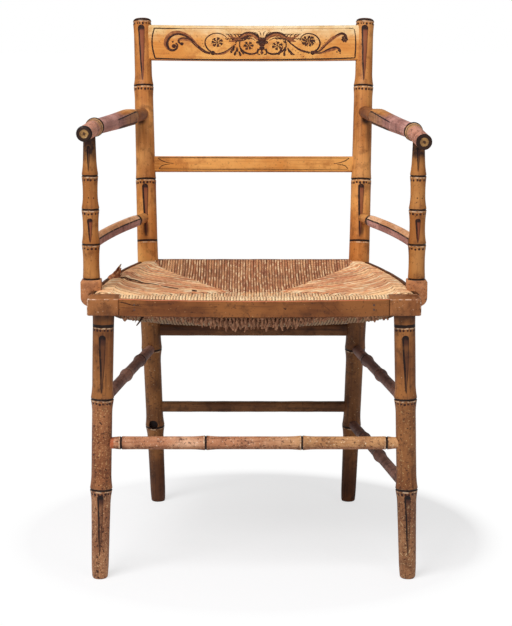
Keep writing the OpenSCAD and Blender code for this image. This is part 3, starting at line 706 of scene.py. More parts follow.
def tear_mark_group() -> NodeTree:
    """A painted tear: a round head and a long point, dark along its left and head."""
    n, get, result = new_group(
        "tear_mark",
        {"U": 0.0, "V": 0.0, "Head": 0.0, "Tail": 0.0, "Centre": 0.0, "Width": 0.011, "Body": 0.9},
        {"Fill": "Float", "Edge": "Float"},
    )
    width = get["Width"]
    spot = n.vector(get["U"], get["V"] * 0.35, get["Head"])
    side = get["U"] - get["Centre"] + (n.noise(spot, 45.0, 3.0) - 0.5) * 0.003
    drop = get["Head"] - get["V"]
    left = n.most(1 - drop / (get["Head"] - get["Tail"]), 0.0)
    half = width * 0.5
    over = 1 - n.math("MINIMUM", drop / half, 1.0)
    dome = n.math("SQRT", n.most(1 - over**2, 0.0))
    inside = half * left**0.55 * dome - abs(side)
    fill = n.ramp(inside, -0.0002, 0.0004) * n.ramp(drop, -0.0004, 0.0004) * n.ramp(left, 0.0, 0.03)
    below = n.ramp(drop / width, 0.9, 1.7)
    strength = n.line(below, get["Body"] - 0.92, 0.92)
    rim = 1 - n.ramp(inside, 0.0008, 0.0016)
    left_rim = (1 - n.ramp(inside, 0.0026, 0.0038)) * (1 - n.ramp(side, -0.0008, 0.0004))
    head = 1 - n.ramp(drop / width, 0.45, 0.85)
    edge = n.most(rim * 0.75, n.most(left_rim, head))
    edge = edge * n.line(n.ramp(n.noise(spot, 300.0), 0.3, 0.5), 0.35, 0.65)
    n.fill(result, {"Fill": fill * strength, "Edge": edge * fill})
    return n.tree


def aged_paint_group() -> NodeTree:
    """Old glaze over a lighter coat: mottling, streaks along the grain, dark specks and pale chips."""
    n, get, result = new_group(
        "aged_paint",
        {
            "Place": (0.0, 0.0, 0.0),
            "Grain": (0.0, 0.0, 0.0),
            "Light": (0.8, 0.5, 0.2, 1.0),
            "Base": (0.6, 0.3, 0.1, 1.0),
            "Deep": (0.3, 0.12, 0.04, 1.0),
            "Chip": (0.8, 0.6, 0.4, 1.0),
            "Wear": 0.0,
            "GrimeAndShade": 0.0,
        },
        {"Colour": "Color", "Height": "Float", "Roughness": "Float"},
    )
    place, deep, wear = get["Place"], get["Deep"], get["Wear"]
    broad = n.noise(place, 11.0, 3.0, 0.6)
    mid = n.noise(place, 55.0, 4.0, 0.62)
    streak = n.noise(get["Grain"], 1.0, 4.0, 0.65)
    fine = n.noise(place, 560.0)
    flecks = n.noise(place, 260.0, 3.0, 0.6)
    colour = n.mix(n.ramp(broad, 0.38, 0.6), get["Base"], get["Light"])
    colour = n.mix(n.ramp(mid, 0.5, 0.7) * 0.6, colour, deep)
    colour = n.mix(n.ramp(streak, 0.5, 0.68) * 0.5, colour, deep)
    colour = n.mix(n.ramp(streak, 0.47, 0.3) * 0.45, colour, get["Light"])
    # Darkens towards the deep colour: the coat's own glaze and, by the rings, painted shade with dirt.
    colour = n.mix(n.math("MINIMUM", get["GrimeAndShade"] * n.line(mid, 1.1, 0.35), 0.95), colour, deep)
    specks = n.ramp(flecks - wear * 0.04, 0.38, 0.32) * n.line(wear, 0.6, 0.35)
    colour = n.mix(specks, colour, SPECK)
    limit = n.line(wear, -0.13, 0.7)
    chips = n.ramp(n.line(fine, 0.5, flecks * 0.5) - limit, -0.01, 0.03)
    height = n.line(streak, 0.6, fine * 0.3) - chips * 0.5 - specks * 0.4
    rough = n.line(mid, 0.25, n.line(wear, 0.2, 0.32))
    n.fill(result, {"Colour": n.mix(chips * 0.75, colour, get["Chip"]), "Height": height, "Roughness": rough})
    return n.tree


@dataclass(frozen=True)
class Tear:
    """A painted tear: heights of its head and tail, its place round the member, and its body's strength."""

    head: float
    tail: float
    centre: float = 0.0
    width: float = 0.011
    fill: float = 0.85
    colour: Triple = (0.205, 0.048, 0.021)


@dataclass(frozen=True)
class Coat:
    """A painted or bare finish.

    Attributes:
        light: linear colour of the bright coat.
        base: linear colour of the common coat.
        deep: linear colour of grime and glaze, and of the painted shade by the rings.
        chip: linear colour where it is chipped.
        grain: how many streaks fit in a metre round the member and along it.
        wear: how much it is chipped and specked, from 0 to 1.
        grime: how much of it the dark glaze covers, from 0 to 1.
    """

    light: Triple
    base: Triple
    deep: Triple
    chip: Triple = (0.82, 0.58, 0.34)
    grain: tuple[float, float] = (230.0, 10.0)
    wear: float = 0.15
    grime: float = 0.0


@dataclass(frozen=True)
class Ring:
    """A painted ring: its v, half its line's height and whether a row of dots runs below it."""

    at: float
    half: float = 0.0016
    dots: bool = False


@dataclass(frozen=True)
class ShadePatch:
    """A patch of painted shade: its centre and half size in u and v, and how much of the paint it covers."""

    u: float
    v: float
    wide: float
    high: float
    cover: float = 0.7


class Along(Enum):
    """What a further coat is blended by: height, v along the member or u round it to either side."""

    HEIGHT = "height"
    LENGTH = "length"
    AROUND = "around"


@dataclass(frozen=True)
class Blend:
    """A further coat, which takes over from start to end."""

    coat: Coat
    start: float
    end: float
    by: Along = Along.HEIGHT


@dataclass(frozen=True)
class Edge:
    """Colour of the edges that a piece's mark attribute names, and how evenly it covers them."""

    colour: Triple
    cover: float = 0.9


OCHRE = Coat((0.648, 0.284, 0.0825), (0.464, 0.166, 0.0388), (0.184, 0.0578, 0.0145))
SUPPORT = Coat((0.5, 0.215, 0.06), (0.36, 0.126, 0.028), (0.143, 0.044, 0.0105))
LEMON = Coat(
    (0.744, 0.361, 0.0954), (0.614, 0.233, 0.0456), (0.428, 0.132, 0.0232), grain=(260.0, 7.0), wear=0.05
)
PALE_LEMON = Coat(
    (0.81, 0.623, 0.37), (0.722, 0.498, 0.229), (0.546, 0.294, 0.088), grain=(260.0, 7.0), wear=0.1
)
ORANGE = Coat(
    (0.722, 0.328, 0.0845), (0.607, 0.226, 0.0423), (0.37, 0.117, 0.0208), grain=(260.0, 7.0), wear=0.1
)
TAN = Coat((0.62, 0.32, 0.125), (0.42, 0.175, 0.06), (0.13, 0.05, 0.022), wear=0.4, grime=0.15)
LEG = Coat((0.361, 0.138, 0.037), (0.211, 0.0711, 0.0192), (0.0602, 0.0205, 0.00814), wear=0.25, grime=0.1)
WORN_LEG = Coat(
    (0.334, 0.126, 0.0475), (0.217, 0.068, 0.024), (0.0874, 0.0277, 0.012), (0.58, 0.33, 0.14), wear=0.95
)
LOW_LEG = Coat(
    (0.37, 0.165, 0.074), (0.24, 0.088, 0.037), (0.096, 0.036, 0.018), (0.62, 0.38, 0.2), wear=0.95
)
BROWN_LEG = Coat(
    (0.285, 0.112, 0.036), (0.175, 0.058, 0.0185), (0.07, 0.022, 0.0095), (0.6, 0.4, 0.17), wear=0.75
)
DULL_LEG = Coat(
    (0.32, 0.145, 0.062), (0.205, 0.08, 0.033), (0.082, 0.031, 0.015), (0.6, 0.42, 0.22), wear=0.9
)
BRACE_TOP = Coat((0.84, 0.48, 0.27), (0.64, 0.295, 0.13), (0.27, 0.098, 0.045), (0.85, 0.66, 0.48), wear=0.35)
AMBER = Coat((0.76, 0.335, 0.09), (0.545, 0.19, 0.041), (0.22, 0.07, 0.016))
HOLLOW = Coat((0.04, 0.016, 0.01), (0.022, 0.009, 0.006), (0.01, 0.004, 0.003), (0.07, 0.03, 0.018))
OLIVE = Coat(
    (0.275, 0.109, 0.03), (0.152, 0.0555, 0.015), (0.05, 0.0176, 0.006), (0.52, 0.36, 0.2),
    wear=0.55, grime=0.1,
)
BROWN = Coat(
    (0.272, 0.0959, 0.0248), (0.164, 0.0497, 0.0124), (0.06, 0.0192, 0.0062), (0.62, 0.36, 0.16),
    (120.0, 8.0), 0.35,
)
BLOCK = Coat(
    (0.323, 0.122, 0.0384), (0.217, 0.0696, 0.0198), (0.0892, 0.0281, 0.00868), (0.72, 0.5, 0.33),
    (60.0, 30.0), 0.4,
)
FOOT = Coat(
    (0.605, 0.265, 0.107), (0.454, 0.171, 0.0645), (0.173, 0.0568, 0.0224), (0.85, 0.66, 0.5),
    (60.0, 30.0), 0.5,
)
MAUVE = Coat((0.62, 0.32, 0.27), (0.385, 0.172, 0.143), (0.122, 0.045, 0.038), (0.66, 0.46, 0.38), wear=0.45)
ROSE = Coat(
    (0.66, 0.29, 0.19), (0.42, 0.142, 0.083), (0.11, 0.03, 0.019), (0.86, 0.66, 0.54), wear=0.8, grime=0.12
)
PLUM = Coat((0.32, 0.155, 0.11), (0.16, 0.07, 0.049), (0.04, 0.015, 0.011), (0.46, 0.3, 0.23), wear=0.5)
PINK = Coat((0.74, 0.42, 0.255), (0.47, 0.195, 0.094), (0.17, 0.054, 0.024), (0.92, 0.74, 0.56), wear=0.7)
GOLDEN = Coat((0.56, 0.285, 0.12), (0.33, 0.132, 0.052), (0.13, 0.044, 0.018), (0.92, 0.74, 0.5), wear=0.7)
ORANGE_END = Coat((0.62, 0.2, 0.08), (0.46, 0.115, 0.042), (0.16, 0.04, 0.016), (0.86, 0.62, 0.44), wear=0.6)
HEWN = Coat((0.22, 0.092, 0.031), (0.13, 0.048, 0.015), (0.042, 0.014, 0.005), (0.34, 0.18, 0.09), wear=0.3)
DARK = Coat(
    (0.158, 0.0546, 0.0172), (0.084, 0.0282, 0.00924), (0.0231, 0.00792, 0.0033), (0.24, 0.13, 0.07), wear=0.3
)
END_GRAIN = Coat((0.36, 0.195, 0.065), (0.22, 0.1, 0.03), (0.055, 0.02, 0.008), grain=(60.0, 60.0), wear=0.6)
SHEEN = 0.22
INK = (0.0075, 0.0026, 0.0021)
# Dark brown of painted shade.
PAINTED_SHADE = (0.032, 0.012, 0.007)
DARK_TEAR = (0.05, 0.014, 0.008)
SPECK = (0.028, 0.01, 0.007)
DOT = (0.03, 0.007, 0.005)
# Pale lip colour: wear and painted highlight.
LIP_WEAR_AND_HIGHLIGHT = (0.88, 0.64, 0.42)
END_BAND = (0.016, 0.0042, 0.0034)
PITH = (0.035, 0.012, 0.007)
# Dark brown of the painted shade under the seat.
UNDERSIDE_SHADE = (0.075, 0.036, 0.024)
RUSH_GAP = (0.05, 0.018, 0.011)


class Finish:
    """Makes materials from coats and painted marks."""

    def __init__(self) -> None:
        """Makes the shared node groups."""
        self.groups = {"ring": ring_mark_group(), "tear": tear_mark_group(), "paint": aged_paint_group()}

    def start(self, name: str) -> tuple[Material, Nodes, Node]:
        """A new material, its nodes and its shader."""
        material = bpy.data.materials.new(name)
        material.use_nodes = True
        shader = material.node_tree.nodes["Principled BSDF"]
        shader.location = (2500, 0)
        material.node_tree.nodes["Material Output"].location = (2800, 0)
        return material, Nodes(material.node_tree), shader

    def paint(self, n: Nodes, coat: Coat, place: Wire, u: Wire, v: Wire, grime: object) -> Node:
        """Adds one coat of aged paint."""
        given = {"Light": coat.light, "Base": coat.base, "Deep": coat.deep, "Chip": coat.chip}
        given |= {"Grain": n.vector(u * coat.grain[0], v * coat.grain[1]), "Place": place}
        given |= {"Wear": coat.wear, "GrimeAndShade": n.most(grime, coat.grime)}
        return n.add("Group", given, node_tree=self.groups["paint"])

    def coated(
        self,
        name: str,
        coat: Coat,
        rings: tuple[Ring, ...] = (),
        tears: tuple[Tear, ...] = (),
        freckles: tuple[float, float] | None = None,
        blends: tuple[Blend, ...] = (),
        edge: Edge | None = None,
        disc: float = 0.0,
        shade_bands: tuple[tuple[float, float], ...] = (),
        shade_patches: tuple[ShadePatch, ...] = (),
    ) -> Material:
        """A painted wood finish with its marks.

        Args:
            name: the material's name.
            coat: the paint.
            rings: painted rings.
            tears: painted tears.
            freckles: lowest and highest v of scattered painted dots.
            blends: further coats, each laid over the ones before.
            edge: how the edges named by the piece's mark attribute look.
            disc: inner radius of a dark band round a flat end, or 0.
            shade_bands: lowest and highest v of stretches of painted shade.
            shade_patches: patches of painted shade.

        Returns:
            The material.
        """
        material, n, shader = self.start(name)
        place, (u, v) = n.where(), n.distances()
        grime: object = 0.0
        line: object = 0.0
        lip: object = 0.0
        dots: object = 0.0
        for ring in rings:
            given = {"U": u, "V": v, "At": ring.at, "Half": ring.half, "Dots": float(ring.dots)}
            mark = n.add("Group", given, node_tree=self.groups["ring"])
            line = n.most(line, n.out(mark, "Line"))
            lip = n.most(lip, n.out(mark, "Lip"))
            dots = n.most(dots, n.out(mark, "Dots"))
            # Painted shade and dirt towards each ring's groove.
            near = 1 - n.ramp(abs(v - ring.at), 0.001, 0.009)
            grime = n.most(grime, near * 0.3)
        paint = self.paint(n, coat, place, u, v, grime)
        colour = n.out(paint, "Colour")
        for blend in blends:
            value = {Along.HEIGHT: n.parts(place)[2], Along.LENGTH: v, Along.AROUND: abs(u)}[blend.by]
            wander = (n.noise(place, 70.0, 3.0) - 0.5) * ((blend.end - blend.start) * 0.9)
            second = self.paint(n, blend.coat, place, u, v, grime)
            colour = n.mix(n.ramp(value + wander, blend.start, blend.end), colour, n.out(second, "Colour"))
        # Painted shade: dark bands along the member.
        for low, high in shade_bands:
            shade_breakup = n.line(n.ramp(n.noise(place, 90.0, 3.0), 0.6, 0.42), 0.35, 0.65)
            colour = n.mix(n.band(v, low, high, 0.01) * shade_breakup, colour, PAINTED_SHADE)
        # Painted shade: soft dark patches on the paint.
        for shade_patch in shade_patches:
            off = n.apart((u - shade_patch.u) / shade_patch.wide, (v - shade_patch.v) / shade_patch.high)
            colour = n.mix(n.ramp(off, 1.15, 0.3) * shade_patch.cover, colour, PAINTED_SHADE)
        for tear in tears:
            given = {"U": u, "V": v, "Head": tear.head, "Tail": tear.tail, "Centre": tear.centre}
            given |= {"Width": tear.width, "Body": tear.fill}
            mark = n.add("Group", given, node_tree=self.groups["tear"])
            colour = n.mix(n.out(mark, "Fill"), colour, tear.colour)
            colour = n.mix(n.out(mark, "Edge") * 0.96, colour, INK)
        if freckles:
            cells = n.add("TexVoronoi", {"Vector": n.vector(u, v), "Scale": 100.0}, voronoi_dimensions="2D")
            keep = n.ramp(n.parts(n.out(cells, "Color"))[0], 0.42, 0.47)
            dot = n.ramp(n.out(cells, "Distance"), 0.13, 0.09) * keep
            dots = n.most(dots, dot * n.band(v, *freckles, 0.002))
        if disc:
            out = n.apart(u, v)
            wander = (n.noise(place, 300.0, 3.0) - 0.5) * 0.0022
            band = n.ramp(out + wander, disc - 0.0006, disc + 0.0007)
            colour = n.mix(band * 0.96, colour, END_BAND)
            spot = n.ramp(out + wander * 2.2, 0.003, 0.0016)
            colour = n.mix(spot * 0.9, colour, PITH)
        # The pale lip below each ring: worn paint with a painted highlight.
        colour = n.mix(lip * 0.6, colour, LIP_WEAR_AND_HIGHLIGHT)
        colour = n.mix(dots * 0.97, colour, DOT)
        colour = n.mix(line * 0.97, colour, INK)
        if edge:
            drawn = n.out(n.add("Attribute", attribute_name="mark"), "Fac")
            gaps = n.noise(place, 210.0, 3.0) - edge.cover * 0.5
            colour = n.mix(n.ramp(drawn, 0.3, 0.62) * n.ramp(gaps, 0.3, 0.12), colour, edge.colour)
        look = {"Base Color": colour, "Roughness": n.out(paint, "Roughness"), "Specular IOR Level": SHEEN}
        n.finish(shader, look, n.out(paint, "Height") - line * 0.3, 0.3, 0.0008)
        return material

    def iron(self) -> Material:
        """Dull, lightly rusted iron."""
        material, n, shader = self.start("rusted_iron")
        place = n.where()
        rust = n.ramp(n.noise(place, 600.0, 4.0), 0.42, 0.62)
        look = {"Base Color": n.mix(rust, (0.075, 0.062, 0.055), (0.15, 0.055, 0.025))}
        look |= {"Metallic": n.line(rust, -0.7, 0.85), "Roughness": n.line(rust, 0.3, 0.45)}
        n.finish(shader, look, n.noise(place, 900.0, 3.0), 0.3, 0.0003)
        return material

    def ink(self, name: str, dark: Triple, lifted: Triple) -> Material:
        """Brushed stroke paint, dark where it is thick and lifted where it is thin."""
        material, n, shader = self.start(name)
        place = n.where()
        thin = n.ramp(n.noise(place, 150.0, 4.0, 0.65), 0.4, 0.72)
        flecks = n.ramp(n.noise(place, 900.0), 0.6, 0.7)
        colour = n.mix(flecks * 0.4, n.mix(thin * 0.7, dark, lifted), (0.5, 0.24, 0.075))
        look = {"Base Color": colour, "Roughness": 0.55, "Specular IOR Level": 0.15}
        n.finish(shader, look, thin, 0.2, 0.0003)
        return material

    def rush(
        self,
        name: str,
        straw: Triple,
        russet: Triple,
        shade: Triple,
        gaps: float = 0.6,
        length: float = 1.0,
        shaded_below: bool = True,
        twisted: float = 1.0,
        bright: Triple = (1.0, 0.79, 0.5),
        slim: bool = False,
    ) -> Material:
        """Twisted rush strands, from UV metres: u along a strand and v across the strands.

        Args:
            name: the material's name.
            straw: the dry strands' colour.
            russet: the aged strands' colour.
            shade: the colour of the darker, grimy strands and of the painted shade along each twist.
            gaps: how dark the painted shade in the gaps between strands is, from 0 to 1.
            length: how long the pale flecks are, as a share of their usual length.
            shaded_below: paints shade on the downward faces below the front strip.
            twisted: how strongly the painted highlight and painted shade along the strands' twist show, from
                0 to 1.
            bright: colour of the painted highlights: the sheen along each twist and the pale flecks.
            slim: keeps the flecks, in greater number, to the middle of each strand.

        Returns:
            The material.
        """
        material, n, shader = self.start(name)
        place, (u, v) = n.where(), n.distances()
        _, back, up = n.parts(place)
        cell = v / STRAND
        number = n.math("FLOOR", cell)
        own = n.chance(n.vector(number, 0.7, 0.1))
        fibre = n.noise(n.vector(u * 90.0, v * 1300.0, number), 1.0, 3.0)
        twist = n.math("SINE", u * 760.0 + cell * 5.2 + own[1] * 6.28)
        patch = n.noise(n.vector(u * (30.0 / length), number * 0.9, own[0]), 1.0, 4.0, 0.6)
        fleck = n.noise(n.vector(u * (110.0 / length), number * 1.7, own[2]), 1.0, 3.0, 0.6)
        edge = abs(cell - number - 0.5)
        # Painted highlight along each strand's twist.
        light = n.ramp(fibre, 0.5, 0.66) * n.ramp(twist, -0.4, 0.8) * (0.5 * twisted)
        # Painted highlights: pale flecks along the strands.
        flecks = n.ramp(fleck, 0.48 if slim else 0.54, 0.62 if slim else 0.64) * 0.9
        if slim:
            flecks = flecks * n.ramp(edge, 0.27, 0.12)
        colour = n.mix(n.ramp(patch, 0.4, 0.6), straw, russet)
        colour = n.mix(n.ramp(own[2], 0.5, 1.0) * 0.6, colour, shade)
        colour = n.mix(n.ramp(n.noise(place, 19.0, 3.0), 0.48, 0.66) * 0.55, colour, shade)
        colour = n.mix(n.ramp(back, -0.04, -0.2) * 0.45, colour, straw)
        colour = n.mix(n.most(light, flecks), colour, bright)
        # Painted shade on the far side of each twist.
        colour = n.mix(n.ramp(twist, 0.1, -0.9) * (0.45 * twisted), colour, shade)
        # Painted shade: faces below the front strip that look down turn dark brown.
        if shaded_below:
            facing = n.parts(n.where("Normal"))[2]
            under = n.ramp(up, 0.4195, 0.4145) * n.ramp(facing, 0.5, 0.1)
            colour = n.mix(under * 0.72, colour, UNDERSIDE_SHADE)
        # Painted shade in the gaps between strands.
        colour = n.mix(n.ramp(edge, 0.27, 0.5) * gaps, colour, RUSH_GAP)
        look = {"Base Color": colour, "Roughness": 0.75, "Specular IOR Level": 0.03}
        n.finish(shader, look, n.line(twist, 0.5, fibre), 0.7, 0.0008)
        return material


# Turned and sawn members


def side_name(side: int) -> str:
    """The word for a side."""
    return "left" if side < 0 else "right"


MORTISE_RADIUS = 0.0081
MORTISE_SPAN = (0.005, 0.03)


def empty_mortise(piece: Object, at: Array, towards: Array) -> None:
    """Bores the missing stretcher's hole into a left member, with its second material inside.

    Args:
        piece: the member.
        at: where the missing stretcher met the member's axis, mirrored to the right.
        towards: where it met the other member's axis, mirrored to the right.
    """
    start, end = mirrored(np.stack([at, towards]), -1)
    step = unit(end - start)
    near, far = MORTISE_SPAN
    start, end = start + step * near, start + step * far
    along = np.linspace(0, float(np.linalg.norm(end - start)), 4)
    course = Course.straight(start, end, along, (1.0, 0.0, 0.0))
    rings, u = round_rings(course, np.full(4, MORTISE_RADIUS), 32, 0.0)
    cutter = Shell().add(rings, u, along, slot=1).make("cutter", list(piece.data.materials))
    change = piece.modifiers.new("mortise", "BOOLEAN")
    change.operation = "DIFFERENCE"
    change.solver = "EXACT"
    change.object = cutter
    bpy.context.view_layer.update()
    cut = bpy.data.meshes.new_from_object(piece.evaluated_get(bpy.context.evaluated_depsgraph_get()))
    cut.name = piece.name
    piece.modifiers.clear()
    piece.data = cut
    used = cutter.data
    bpy.data.objects.remove(cutter)
    bpy.data.meshes.remove(used)


@dataclass
class BackPost:
    """A bent, turned back post with four scored rings and a domed top.

    Attributes:
        side: -1 for the left post and +1 for the right one.
        ring_z: heights of its rings, top first.
        ring_r: their radii.
        cap: height of the domed top.
    """

    side: int
    ring_z: tuple[float, ...] = (0.739, 0.58, 0.284, 0.142)
    ring_r: tuple[float, ...] = (0.0174, 0.0178, 0.0182, 0.017)
    cap: float = 0.0045

    def tangent(self) -> float:
        """Distance from the bend's corner to where it starts."""
        return PLAN.bend_radius * math.tan((PLAN.rake + PLAN.kick) / 2)

    def turning(self) -> Turning:
        """The outline against distance from the bend, below it negative."""
        up = [(z - PLAN.seat_z) / math.cos(PLAN.rake) for z in self.ring_z[:2]]
        down = [(z - PLAN.seat_z) / math.cos(PLAN.kick) for z in self.ring_z[2:]]
        top = (PLAN.height - 0.0115 * math.sin(PLAN.rake) - PLAN.seat_z) / math.cos(PLAN.rake)
        foot = -PLAN.seat_z / math.cos(PLAN.kick)
        knots = (
            (foot, 0.0108, False),
            (foot + 0.0022, 0.0123, False),
            (down[1], self.ring_r[3], True),
            (down[0], self.ring_r[2], True),
            (0.0, 0.0178, False),
            (up[1], self.ring_r[1], True),
            (up[0], self.ring_r[0], True),
            (top - 0.0078, 0.016, True),
            (top - self.cap, 0.0157, False),
            (top - 0.0022, 0.0146, False),
            (top - 0.0007, 0.0122, False),
            (top, 0.0085, False),
        )
        waists = (
            None, (0.013, 0.0143), (0.015, 0.0152), (0.0168, 0.0176), (0.0177, 0.017), (0.0166, 0.016),
            (0.01475, 0.01475), None, None, None, None,
        )
        return Turning(knots, waists)

    def course(self, along: Array) -> Course:
        """The post's bent axis.

        Outside the bend it is straight along each length. Inside, it is a circle of the bend's
        radius, whose angle runs evenly from minus the kick to the rake. Then the whole leans out.
        """
        t, r = self.tangent(), PLAN.bend_radius
        rake, kick = PLAN.rake, PLAN.kick
        y = np.where(along > 0, along * math.sin(rake), -along * math.sin(kick))
        z = np.where(along > 0, along * math.cos(rake), along * math.cos(kick))
        a = -kick + (rake + kick) * np.clip((along + t) / (2 * t), 0, 1)
        start = np.array([t * math.sin(kick), -t * math.cos(kick)])
        mid = start + r * np.array([math.cos(kick), math.sin(kick)])
        bent = np.abs(along) < t
        y = np.where(bent, mid[0] - r * np.cos(a), y) + PLAN.post_bend_y - PLAN.middle
        z = np.where(bent, mid[1] + r * np.sin(a), z) + PLAN.seat_z
        x = PLAN.post_foot_x + z * math.sin(PLAN.lean)
        return Course.through(mirrored(np.stack([x, y, z * math.cos(PLAN.lean)], 1), self.side))

    def build(self, paint: Material, raw: Material) -> Object:
        """Makes the post, standing flat on the floor, with the empty mortise of the left one."""
        turning = self.turning()
        along = turning.stations()
        course = self.course(along)
        rings, u = round_rings(course, turning.radius(along))
        drop = rings[..., 2] / course.ahead[:, None, 2]
        low = np.minimum(drop, 0)
        low[0] = drop[0]
        rings = rings - low[..., None] * course.ahead[:, None, :]
        v = course.centres[:, 2]
        name = side_name(self.side)
        piece = Shell().add(rings, u, v).make(f"{name}_bamboo_post", [paint, raw])
        if self.side < 0:
            empty_mortise(piece, PLAN.post_at(LOWER_BACK_Z), PLAN.leg_at(LOWER_FRONT_Z))
        return dress(piece, Slot.PAINTED, f"{name}_back_post")


@dataclass
class FrontLeg:
    """A splayed, turned front leg with two scored rings."""

    side: int
    ring_z: tuple[float, float] = (0.284, 0.142)

    def build(self, paint: Material, raw: Material) -> Object:
        """Makes the leg, cut level at the floor and under its corner block."""
        foot, top = (mirrored(PLAN.leg_at(z), self.side) for z in (0.0, PLAN.block_z))
        length = float(np.linalg.norm(top - foot))
        knots = (
            (0.0, 0.0104, False),
            (0.0022, 0.012, False),
            (self.ring_z[1], 0.0175, True),
            (self.ring_z[0], 0.018, True),
            (length, 0.0167, False),
        )
        turning = Turning(knots, (None, (0.013, 0.0151), (0.0155, 0.0155), (0.0158, 0.0163)))
        along = turning.stations()
        course = Course.straight(foot, top, along)
        rings, u = round_rings(course, turning.radius(along))
        ahead = course.ahead[0]
        low = np.minimum(rings[..., 2], 0)
        low[0] = rings[0, :, 2]
        high = np.maximum(rings[..., 2] - PLAN.block_z, 0)
        high[-1] = rings[-1, :, 2] - PLAN.block_z
        rings = rings - ((low + high) / ahead[2])[..., None] * ahead
        name = side_name(self.side)
        piece = Shell().add(rings, u, course.centres[:, 2]).make(f"{name}_bamboo_leg", [paint, raw])
        if self.side < 0:
            empty_mortise(piece, PLAN.leg_at(LOWER_FRONT_Z), PLAN.post_at(LOWER_BACK_Z))
        return dress(piece, Slot.PAINTED, f"{name}_front_leg")


@dataclass
class ArmSupport:
    """A turned upright under an arm, with a squared foot that laps over the seat's edge."""

    side: int
    ring_z: tuple[float, ...] = (0.46, 0.514, 0.568, 0.62)
    ring_r: tuple[float, ...] = (0.0135, 0.0144, 0.014, 0.013)

    def build(self, paint: Material, foot_paint: Material) -> None:
        """Makes the turning and the foot."""
        name = side_name(self.side)
        lift = -self.side * PLAN.arm_tilt
        top = PLAN.arm_front[2] + lift - 0.004
        knots = ((0.452, 0.0128, False),)
        knots += tuple((z, r, True) for z, r in zip(self.ring_z, self.ring_r))
        knots += ((top, 0.0092, False),)
        waists = (None, (0.0125, 0.0127), (0.012, 0.0122), (0.0113, 0.0115), (0.0112, 0.0092))
        turning = Turning(knots, waists, groove=0.0009)
        along = turning.stations()
        x, y = PLAN.support[0] * self.side, PLAN.support[1] - PLAN.middle
        rings, u = round_rings(Course.through(grid(x, y, along)), turning.radius(along), 40)
        piece = Shell().add(rings, u, along).make(f"{name}_bamboo_support", [paint])
        dress(piece, Slot.PAINTED, f"{name}_arm_support")
        self.foot(foot_paint)

    def foot(self, paint: Material) -> None:
        """Makes the squared foot: an outline seen from the front, carried through its depth."""
        edge = float(PLAN.side_x(PLAN.support[1] - PLAN.middle))
        inner, outer, top, low = 0.237, 0.268, 0.4585, 0.418
        corner = np.linspace(-math.pi / 2, 0, 9)
        rounded = np.stack([outer - 0.014 + 0.014 * np.cos(corner), low + 0.014 + 0.014 * np.sin(corner)], 1)
        easing = np.array([[outer, top - 0.0025], [outer - 0.0008, top - 0.0008], [outer - 0.0025, top]])
        lap = np.array([[inner + 0.0012, top], [inner, top - 0.0012], [inner, 0.4425], [edge, 0.4424]])
        outline = np.vstack([[[edge, low + 0.0006]], rounded, easing, lap])
        depth = np.array([-0.014, -0.0134, -0.006, 0.0, 0.006, 0.0134, 0.014])
        shrink = np.array([0.0007, 0.0, 0.0, 0.0, 0.0, 0.0, 0.0007])
        middle = outline.mean(0)
        flat = middle + (outline - middle) * (1 - shrink / 0.018)[:, None, None]
        y = (depth + PLAN.support[1] - PLAN.middle)[:, None]
        rings = mirrored(grid(flat[..., 0], y, flat[..., 1]), self.side)
        reach = girth(outline)
        name = side_name(self.side)
        piece = Shell().add(rings, reach, depth).make(f"{name}_support_foot", [paint], 55.0)
        dress(piece, Slot.PAINTED, f"{name}_arm_support")


